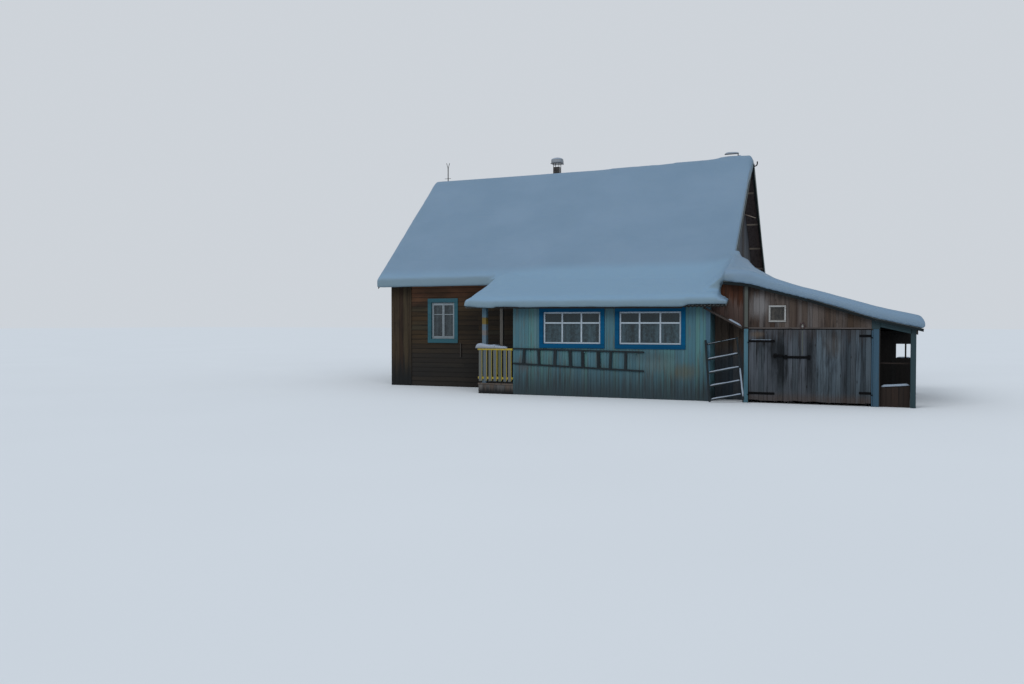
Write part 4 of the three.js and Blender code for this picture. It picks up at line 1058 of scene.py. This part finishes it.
def railings():
    """Two rails and a cap, with flat slats in front and a narrow strip beside each."""
    pitch, slat, top = 0.15, 0.085, RAIL_Z - 0.051
    for side, length, at in (
        ("front", 1.07, lambda u, w, z: (PORCH_X[0] + u, -w, z)),
        ("side", 1.352, lambda u, w, z: (POST_X - w, 1.352 - u, z)),
    ):
        rails, slats = Shape(at), Shape(at)
        for z in (0.42, RAIL_Z - 0.06):
            rails.slab((0.0, length), (0.0, 0.03), z, z + 0.06)
        rails.slab((0.0, length), (-0.02, 0.055), RAIL_Z - 0.05, RAIL_Z)
        count = int((length - 0.09) / pitch) + 1
        start = (length - 0.09 - (count - 1) * pitch) / 2
        for k in range(count):
            u = start + k * pitch + chance.uniform(-0.008, 0.008)
            slats.slab((u, u + slat), (0.031, 0.05), 0.36 + chance.uniform(-0.01, 0.01), top)
            rails.slab((u + slat + 0.002, u + slat + 0.015), (0.031, 0.047), 0.37, top)
        made(f"railing_{side}", rails, "yellow_paint", f"porch_railing_{side}")
        made(f"railing_{side}_slats", slats, "slat_paint")


# The shed


def shed_posts():
    """Each post: its painted face, bare jambs beside it, its head, and brackets with the pins for a leaf."""
    for side, x, inset, deep, paint, head in (
        ("left", LEFT_POST_X, (0.028, 0.018), 0.15, "post_paint", "dark_boards"),
        ("right", RIGHT_POST_X, (0.035, 0.02), 0.19, "far_post_paint", "dark_teal_paint"),
    ):
        face = (x[0] + inset[0], x[1] - inset[1])
        jambs, irons = Shape(), Shape()
        for span in ((x[0], face[0] - 0.001), (face[1] + 0.001, x[1])):
            jambs.box(span, (0.006, deep), (0.0, LINTEL_Z))
        pin, _, way, levels = LEAVES[side][:4]
        for z in levels:
            top, low = z - 0.031, z - 0.051
            irons.box(sorted((pin, pin - way * 0.035)), (-0.017, 0.001), (low, top))
            irons.rod((pin, PIN_Y, low), (pin, PIN_Y, top), 0.007, 16)
        upper = Shape().box(x, (0.0, deep), (LINTEL_Z + 0.001, over(shed_under, -0.003)))
        shape = Shape().box(face, (0.0, deep), (0.0, LINTEL_Z))
        made(f"{side}_post", shape, paint, f"shed_post_{side}", bevel=0.006)
        made(f"{side}_post_jambs", jambs, "dark_boards", bevel=0.002)
        made(f"{side}_post_top", upper, head, slot="post_paint", bevel=0.005)
        made(f"{side}_post_pintles", irons, "dark_iron", bevel=0.0008)
    strip = Shape().box((3.795, 3.88), (-0.014, -0.001), (1.90, 2.985))
    made("post_strip", strip, "pale_post_paint", bevel=0.002)
    edge = Shape().box((6.7525, 6.78), (0.001, 0.0055), (0.0, 1.83))
    made("post_edge", edge, "far_post_paint", bevel=0.002)


def shed_front():
    span, board = (LEFT_POST_X[1], RIGHT_POST_X[0]), (-0.026, 0.0)
    shape, window = Shape(FRONT), [hole(*SHED_WINDOW)]
    rake = over(shed_under, -0.004)
    shape.boards(span, LINTEL_Z, rake, board, 0.135, window, gap=0.004, uneven=0.004, ragged=0.01)
    made("front_boards", shape, "upper_boards", "shed_front_boards", bevel=0.002)
    inner = (span[0] + 0.001, span[1] - 0.001)
    lintel = Shape().box(inner, (0.03, 0.13), (LINTEL_Z, 1.96)).box(inner, (-0.012, 0.0), (LINTEL_Z, 1.895))
    made("lintel", lintel, "worn_beam", bevel=0.004)
    shape = Shape(FRONT).casing(SHED_WINDOW, 0.035, 0.022).reveal(SHED_WINDOW, 0.024, 0.01)
    made("small_window_frame", shape, "worn_white", "shed_window_frame")
    pane("small_window_pane", FRONT, SHED_WINDOW, -0.013, ["shed_window_glass"], "shed_glass", 0.02)


def ring_hook():
    """The iron ring that hangs at the lintel, over the right leaf."""
    middle, radius, thin = Vector((5.185, -0.014, 1.93)), 0.052, 0.013
    rings, steps, sides = [], 20, 8
    for k in range(steps):
        a = math.radians(300 * k / (steps - 1) - 60)
        out = Vector((math.cos(a), 0, 1.4 * math.sin(a)))
        for i in range(sides):
            t = 2 * math.pi * i / sides
            rings.append(middle + out * (radius + thin * math.cos(t)) + Vector((0, thin * math.sin(t), 0)))
    made("ring_hook", Shape().add(rings, tube(steps - 1, sides)), "ring_iron", smooth=True)
    patch = Shape().box((5.163, 5.207), (-0.006, -0.0005), (1.90, 1.975))
    made("ring_patch", patch, "worn_white", bevel=0.002)


def gates():
    """Leaves of separate boards with two ledges behind and their irons in front."""
    for side, (pin, edge, way, levels, length, bar, bar_z, keepers) in LEAVES.items():
        name, body = f"{side}_gate", f"{side}_leaf"
        span = sorted((pin + way * 0.004, edge))
        shape, ledges, irons = Shape(FRONT), Shape(), Shape()
        shape.boards(span, *GATE_Z, (-0.034, -0.002), 0.112, gap=0.006, uneven=0.002, ragged=0.025)
        made(name, shape, "gate_boards", f"gate_leaf_{side}", body=body)
        for z in (0.30, 1.50):
            ledges.box((span[0] + 0.04, span[1] - 0.04), (0.035, 0.065), (z, z + 0.12))
        made(f"{name}_ledges", ledges, "beams", body=body, bevel=0.004)
        for z in levels:
            irons.box(sorted((pin, pin + way * (length + 0.004))), (-0.008, 0.0), (z - 0.029, z + 0.029))
            irons.rod((pin, PIN_Y, z - 0.03), (pin, PIN_Y, z + 0.03), 0.007, 16)
            nails = max(2, round(length / 0.17))
            for k in range(nails):
                x = pin + way * (0.06 + (length - 0.1) * k / (nails - 1))
                irons.rod((x, -0.013, z), (x, -0.006, z), 0.011, 8)
        irons.box(bar, (-0.02, 0.0), (bar_z - 0.03, bar_z + 0.03))
        for x in keepers:
            irons.box((x - 0.03, x + 0.03), (-0.028, -0.001), (bar_z - 0.055, bar_z + 0.055))
        made(f"{name}_irons", irons, "dark_iron", body=body, bevel=0.0015)
        if side == "left":
            snow = Shape().snow((3.958, -0.004, 1.582), (4.458, -0.004, 1.582), 0.009, 0.009, 20, 6.0, 0.03)
            made("left_gate_snow", snow, "small_snow", body=body, smooth=True)
    strip = Shape().box((5.172, 5.2), (-0.009, -0.001), (1.22, 1.82))
    made("right_gate_strip", strip, "pale_post_paint", slot="grey_boards", body="right_leaf", bevel=0.002)


def shed_walls():
    shape, top = Shape(facing("right", RIGHT_POST_X[1])), shed_under(RIGHT_POST_X[1]) - 0.004
    shape.boards((0.191, 4.999), 0.0, top, (-0.03, 0.0), 0.14, gap=0.005, uneven=0.004)
    made("bay_side_boards", shape, "inner_boards", "shed_wall_right", bevel=0.002)
    shape, holes, keys = Shape(facing("back", 5.05)), [((7.42, 7.83), (1.0, 1.40))], (*SHED_BENDS, 7.0)
    shape.boards((2.95, 7.83), 0.0, over(shed_under, -0.004), (-0.035, 0.0), 0.14, holes, keys, 0.005, 0.004)
    made("back_boards", shape, "grey_boards", "shed_wall_back", bevel=0.002)


def recess():
    """The niche between the veranda and the shed: its back, its side and the slanting pent over it."""
    shape, skin = Shape(facing("front", 0.70)), (-0.03, 0.0)
    for span, top in (((2.95, 3.3), veranda_under(0.70) - 0.01), ((3.3, 3.854), 2.996)):
        shape.boards(span, 0.0, top, skin, 0.15, gap=0.005, uneven=0.005)
    shape.on(facing("right", 3.905)).slab((0.151, 0.739), (-0.049, 0.0), 0.0, 2.99)
    made("recess_boards_back", shape, "brown_boards", "recess_walls", bevel=0.002)
    ends = (2.952, 3.753)
    pent = Shape().planks(ends, (-0.15, 0.109), sloped(ends, PENT_Z, -0.038, 0.0), 0.001)
    made("pent_boards", pent, "beams", "recess_pent", slot="dark_boards")
    ends = (2.80, 3.753)
    edge = Shape().box(ends, (-0.172, -0.151), sloped(ends, (2.422, PENT_Z[1]), -0.05, 0.006))
    made("pent_edge", edge, "pent_boards")

    def low(x):
        return line(x, (VERANDA_X[1], LEFT_POST_X[0]), PENT_Z) + 0.003

    red = Shape(facing("front", 0.11))
    eave = veranda_under(0.11) - 0.005
    for span, top, width in (((2.952, 3.158), eave, 0.1), ((3.16, 3.753), 2.996, 0.12)):
        red.boards(span, low, top, (-0.028, 0.0), width, gap=0.004, uneven=0.003)
    made("recess_boards_upper", red, "red_boards", "recess_boards", bevel=0.002)


def bay():
    """The open end: its post and beam, a dark lining with an opening in the back wall, and low boards."""
    shape = Shape().box(BAY_POST_X, (0.0, 0.12), (0.0, over(shed_under, -0.003)))
    ends = (RIGHT_POST_X[1] + 0.001, BAY_POST_X[0] + 0.02)
    shape.box(ends, (0.0, 0.09), between(shed_under, -0.12, -0.003))
    made("bay_post_and_beam", shape, "dark_teal_paint", "bay_frame", bevel=0.005)
    back, lining = (4.995, 5.012), Shape()
    for x, y, z in (
        ((6.945, 7.275), back, (0.0, 1.98)),
        ((7.276, 7.415), back, (0.0, 1.93)),
        ((7.416, 7.825), back, (0.0, 0.995)),
        ((7.416, 7.825), back, (1.405, 1.79)),
        ((7.645, 7.69), (4.985, 5.012), (0.996, 1.404)),
        ((6.945, 7.60), (0.15, 4.9), (1.80, 1.805)),
    ):
        lining.box(x, y, z)
    # The lining is near black: painted shade inside the open bay
    made("bay_lining", lining, "inner_boards", bevel=0.002)
    span, low = (6.942, 7.599), Shape(facing("front", 0.10))
    low.boards(span, 0.0, 0.5, (-0.026, 0.0), 0.12, gap=0.004, uneven=0.003)
    low.box(span, (0.128, 0.16), (1.03, 1.06))
    made("bay_low_boards", low, "low_brown_boards", bevel=0.002)
    rafters, stops = Shape(), (VERANDA_X[1], *SHED_BENDS, 7.8)
    for y in (0.9, 1.9, 2.9, 3.9, 4.85):
        for x in zip(stops, stops[1:]):
            rafters.box(x, (y, y + 0.06), between(shed_under, -0.11, -0.002))
    made("shed_rafters", rafters, "beams", bevel=0.004)


def shed_roof():
    """Sheets with a patch beside the house, the battens, and the board along the front edge."""
    top = over(shed_under, 0.06)
    shape = Shape().sheet(SHED_Y, [SHED_X[0], *SHED_BENDS, SHED_X[1]], top, True)
    shape.sheet((HOUSE_Y[0] + 0.001, SHED_Y[1]), [2.92, SHED_X[0] - 0.001], top, True)
    sheets("shed_sheets", shape, "roof_sheets", "shed_roof")
    battens, edge = Shape(), Shape()
    for x in (3.32, 3.72, 4.2, 4.7, 5.2, 5.7, 6.2, 6.7, 6.95, 7.2, 7.45, 7.75):
        battens.box((x, x + 0.09), (SHED_Y[0] + 0.02, SHED_Y[1] - 0.01), between(shed_under, 0.001, 0.031))
    made("shed_battens", battens, "rafters")
    for ends, drops in (
        ((3.29, 3.9), (0.02, 0.085)),
        ((3.901, 5.3), (0.085, 0.025)),
        ((5.301, 6.84), (0.025, 0.012)),
        ((6.841, 7.865), (0.012, 0.012)),
    ):
        edge.box(ends, (-0.159, -0.135), (hung(ends, drops), over(shed_under, 0.044)))
    # The edge board is near black: a dark board with the painted shadow under the snow on it
    made("shed_edge_board", edge, "edge_boards")


def leaning_ladder():
    """Two rails and five rungs that climb to the right, with snow on the rungs and on the right rail."""
    turn = Matrix.Rotation(-math.atan(0.2), 4, "X") @ Matrix.Rotation(-math.atan(0.11), 4, "Y")
    place = Matrix.Translation((3.01, -0.3132, 0.0)) @ turn
    shape = Shape()
    for low, high, wide in ((-0.04, -0.03, 0.05), (0.80, 0.76, 0.042)):
        ring = corners((0.0, wide), (-0.045, 0.0))
        shape.add([(x + shift, y, z) for shift, z in ((low, 0.01), (high, 1.6)) for x, y in ring], HEXA)
    ends, levels = (-0.03, 0.82), (0.12, 0.465, 0.81, 1.155, 1.56)
    for z in levels:
        shape.box(ends, (-0.041, -0.004), sloped(ends, (z - 0.09, z), 0.0, 0.034))
    shape.verts = [(x, y, max(z, 0.0)) for x, y, z in (place @ Vector(v) for v in shape.verts)]
    made("short_ladder", shape, "blackened_wood", "leaning_ladder", bevel=0.005)
    snow = Shape()
    for k, z in enumerate(levels):
        lift, high = (0.02, 0.012) if k == 4 else (0.034, 0.028)
        row = [place @ Vector((x, -0.022, z + lift - drop)) for x, drop in ((0.02, 0.084), (0.78, 0.006))]
        snow.snow(*row, 0.042, high, seed=k, end=0.05)
    snow.snow(*[place @ Vector((x, -0.05, z)) for x, z in ((0.82, 0.08), (0.80, 0.8))], 0.045, 0.03, seed=9.0)
    made("snow_on_rungs", snow, "small_snow", smooth=True)


def ridge_irons():
    dress("sooty_iron", "chimney_stack", "chimney_cap")
    dress("dark_iron", "ridge_aerial", "ridge_rod")
    shape = Shape()
    turn = [(3.22, 6.93), (3.37, 6.90), (3.41, 6.92), (3.43, 6.97), (3.43, 7.04)]
    for (x0, z0), (x1, z1) in zip(turn, turn[1:]):
        shape.rod((x0, RIDGE_Y, z0), (x1, RIDGE_Y, z1), 0.019, 12)
    made("bent_hook", shape, "dark_iron", "verge_hook", smooth=True)


# Snow

MAIN_SNOW = 0.342
VERANDA_SNOW = 0.35


def swept(loops):
    """A closed solid through rings of the same number of points."""
    return Shape().add([point for loop in loops for point in loop], tube(len(loops) - 1, len(loops[0])))


def bent(start, middle, end, steps=8):
    """Points of a soft bend between two points of a plane."""
    return [
        tuple((1 - t) ** 2 * a + 2 * t * (1 - t) * b + t * t * c for a, b, c in zip(start, middle, end))
        for t in (k / steps for k in range(steps + 1))
    ]


def valley_profile(share):
    """Drifted snow in the crease where the veranda's snow meets the main roof's."""
    a, b = 1.5 - 0.85 * share, 1.55 + 0.95 * share
    low, high = (a, veranda_under(a) + VERANDA_SNOW - 0.01), (b, main_under(b) + MAIN_SNOW - 0.01)
    return [(1.30, 3.30), (1.75, 3.50), *reversed(bent(low, (1.54, 3.50), high))]


def drift_loop(y):
    """The hollow slope of snow from the veranda's up to the shed's higher drift, at one depth."""
    t = min(1.0, (y + 0.16) / 2.04)
    high = 3.33 + 0.58 * t * t * (3 - 2 * t)
    low = veranda_under(y) + 0.34 if y < 1.56 else main_under(y) + 0.33
    floor = veranda_under(y) + 0.09 if y < 1.56 else main_under(y) + 0.11
    left = 2.72 - 0.35 * min(1.0, max(0.0, y))
    top = bent((left, low - 0.02), (3.02, low + 0.42 * (high - low)), (3.38, max(high, low)))
    ring = [*top, (3.38, 3.09), (3.31, max(3.09, floor)), (3.19, max(3.0, floor)), (3.05, floor)]
    return [(x, y, z) for x, z in ring]


def eave_lips():
    """Where the snow hangs over the eaves: closed strips that melt into the blanket."""
    shape = Shape().box((-7.9, -3.86), (1.525, 1.64), (3.145, 3.42))
    for ends, lows, front in (
        ((-3.86, -2.95), (2.46, 2.40), -0.405),
        ((-2.9, 2.35), (2.44, 2.41), -0.405),
        ((2.35, 3.40), (2.462, 2.462), -0.385),
    ):
        shape.box(ends, (front, -0.29), (sloped(ends, lows, 0.0, 0.0)[0], 2.62))
    for ends, drops in (((3.38, 3.9), (-0.05, 0.03)), ((3.9, 5.3), (0.03, -0.04))):
        shape.box(ends, (-0.2, -0.09), (hung(ends, drops), over(shed_under, 0.2)))
    return shape


def blanket_height(at, normal):
    """How far the blanket's top is lifted at a place, for the heaps that the roofs' shape doesn't give."""
    x, y = at.x, at.y - SITE_Y
    tip = 0.09 * math.exp(-(((x + 3.62) / 0.24) ** 2)) * max(0.0, min(1.0, (0.9 - y) / 0.9))
    crest = math.exp(-(((y - RIDGE_Y) / 0.35) ** 2)) * (0.055 + 0.035 * math.exp(-(((x - 2.55) / 0.4) ** 2)))
    shed = 0.06 * max(0.0, min(1.0, (x - 5.0) / 1.8)) if y < 5.4 else 0.0
    return max(0.0, normal.z) * (tip + crest + shed)


def trimmed(at):
    """The verges of the blanket, drawn in where the roofs' own edges show."""
    y = at.y - SITE_Y
    if y < 1.5 and -3.95 < at.x < -3.5:
        at.x = max(at.x, -3.88 + 0.16 * max(0.0, y + 0.35) / 1.85)
    if y > 5.3 or (y > 1.6 and at.z > max(main_under(y) + 0.02, 4.0)):
        at.x = min(at.x, 3.255 + 0.055 * max(0.0, min(1.0, (y - 4.9) / 0.5)))
    if y < 1.3 and 3.05 < at.x < 3.3 and at.z < veranda_under(y) + 0.45:
        at.x += 0.035
    return at


def snow_blanket():
    """One blanket over the three roofs, soft where they meet."""
    nodes = [f"snow_{roof}_roof" for roof in ("main", "veranda", "shed")]
    bm = bmesh.new()
    for node in nodes:
        bm.from_mesh(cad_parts[node].data)
    shares = ((-3.3, 0.05), (-2.9, 0.5), (-2.2, 0.9), (0.0, 1.0), (3.1, 1.0))
    crease = swept([[(x, *point) for point in valley_profile(share)] for x, share in shares])
    drift = swept([drift_loop(-0.06 + 0.15 * k) for k in range(16)])
    for more in (crease, drift, eave_lips()):
        more.fill(bm)
    bmesh.ops.recalc_face_normals(bm, faces=bm.faces[:])
    carrier = placed("rough_snow", closed("rough_snow", bm))
    remesh = carrier.modifiers.new("remesh", "REMESH")
    remesh.mode, remesh.voxel_size = "VOXEL", 0.042
    smooth = carrier.modifiers.new("smooth", "SMOOTH")
    smooth.factor, smooth.iterations = 0.5, 14
    carrier.modifiers.new("fewer", "DECIMATE").ratio = 0.3
    mesh = bpy.data.meshes.new_from_object(carrier.evaluated_get(bpy.context.evaluated_depsgraph_get()))
    bpy.data.objects.remove(carrier)
    moved = []
    for v in mesh.vertices:
        at, normal = v.co.copy(), v.normal.copy()
        soft = 0.012 * noise.noise(at * 1.3) + 0.006 * noise.noise(at * 4.1)
        at += normal * soft + UP * blanket_height(at, normal)
        moved.extend(trimmed(at))
    mesh.vertices.foreach_set("co", moved)
    mesh.update()
    shown("snow_blanket", mesh, "snow", nodes, smooth=True)


def snow_dome():
    """The round cap of snow on the chimney's cover."""
    middle, base, rings, sides = Vector((-3.42, 6.2, 0)), 7.58, 12, 28
    points = []
    for k in range(rings):
        t = k / (rings - 1)
        wide = 0.2 * (1 - max(0.0, t - 0.45) ** 2.0 / 0.55**2.0 * 0.9)
        for i in range(sides):
            a = 2 * math.pi * i / sides
            square = (abs(math.cos(a)) ** 4 + abs(math.sin(a)) ** 4) ** -0.25
            lump = 1 + 0.04 * noise.noise(Vector((math.cos(a), math.sin(a), t * 2)))
            reach = wide * (1 + (square - 1) * (0.85 - 0.55 * t)) * lump
            points.append(middle + Vector((math.cos(a) * reach, math.sin(a) * reach, base + 0.21 * t**0.62)))
    dome = Shape().add(points, tube(rings - 1, sides))
    made("snow_dome", dome, "small_snow", "snow_chimney_cap", smooth=True)


def small_snow():
    """Snow on the railings, the pent, the rod, the sill of the bay's opening and its low boards."""
    for name, rows in (
        ("snow_on_railings", (
            ((PORCH_X[0] - 0.08, -0.015, RAIL_Z), (-3.0, -0.015, RAIL_Z), 0.14, 0.12, 40, 1.0),
            ((-3.15, -0.015, RAIL_Z), (-2.68, -0.015, RAIL_Z), 0.12, 0.075, 30, 1.5),
            ((POST_X, 0.02, RAIL_Z), (POST_X, 1.30, RAIL_Z), 0.11, 0.08, 40, 2.0),
        )),
        ("snow_bits", (
            ((3.42, -0.12, 2.09), (3.745, -0.12, 1.912), 0.12, 0.045, 24, 3.0),
            ((7.43, 5.02, 1.0), (7.81, 5.02, 1.0), 0.06, 0.03, 24, 4.0),
            ((6.96, 0.113, 0.475), (7.59, 0.113, 0.525), 0.08, 0.05, 24, 7.0),
            ((2.42, 5.585, 7.345), (2.87, 5.585, 7.345), 0.07, 0.055, 16, 5.0),
            ((2.78, 5.585, 7.14), (2.98, 5.585, 7.14), 0.14, 0.17, 16, 8.0, 0.12),
        )),
    ):
        shape = Shape()
        for row in rows:
            shape.snow(*row)
        made(name, shape, "small_snow", smooth=True)


# The stage


def stage(half=300):
    floor = bpy.data.meshes.new("floor")
    floor.from_pydata([(*at, 0) for at in corners((-half, half), (-half, half))], [], [(0, 1, 2, 3)])
    piece = placed("floor", floor)
    look = Look("floor")
    soft = look.noise((0.2, 0.2, 0.2), 2, 0.5)
    look.done(look.shade((0.70, 0.74, 0.78, 1), soft, 0.98, 1.02), 0.95, None, 0, 0.0)
    floor.materials.append(look.material)


def sun(name, place, power):
    """A broad soft light from the direction of a place, seen from the house."""
    lamp = bpy.data.lights.new(name, "SUN")
    lamp.energy, lamp.angle = power, math.radians(28)
    holder = placed(name, lamp)
    holder.location = place
    holder.rotation_euler = Vector(place).to_track_quat("Z", "Y").to_euler()


def studio():
    world = bpy.data.worlds.new("studio")
    world.use_nodes = True
    background = world.node_tree.nodes["Background"]
    background.inputs["Color"].default_value = (0.82, 0.87, 0.93, 1)
    background.inputs["Strength"].default_value = 0.75
    bpy.context.scene.world = world
    sun("key", (-16, -30, 24), 0.95)
    sun("fill", (24, -24, 14), 0.5)
    bpy.context.scene.view_settings.view_transform = "Standard"


def camera():
    """The photograph's camera: 855.6 pixels of focal length at 1024 pixels of width."""
    data = bpy.data.cameras.new("camera")
    data.sensor_width, data.lens = 36.0, 30.08
    data.clip_start, data.clip_end = 0.1, 1000
    holder = placed("camera", data)
    holder.location = (6.711, -26.704, 2.0)
    holder.rotation_euler = (math.radians(90 - 1.26), 0, math.radians(22.696))
    bpy.context.scene.camera = holder


# The random draws run from piece to piece, so the order of these steps counts
for step in (
    log_walls, corner_boards, gables, main_roof, barge_boards, windows, veranda_walls, porch_door,
    veranda_roof, wall_ladder, veranda_windows, floors, porch, railings, shed_posts, shed_front, ring_hook,
    gates, shed_walls, recess, bay, shed_roof, leaning_ladder, ridge_irons, snow_blanket, snow_dome,
    small_snow, stage, studio, camera,
):
    step()
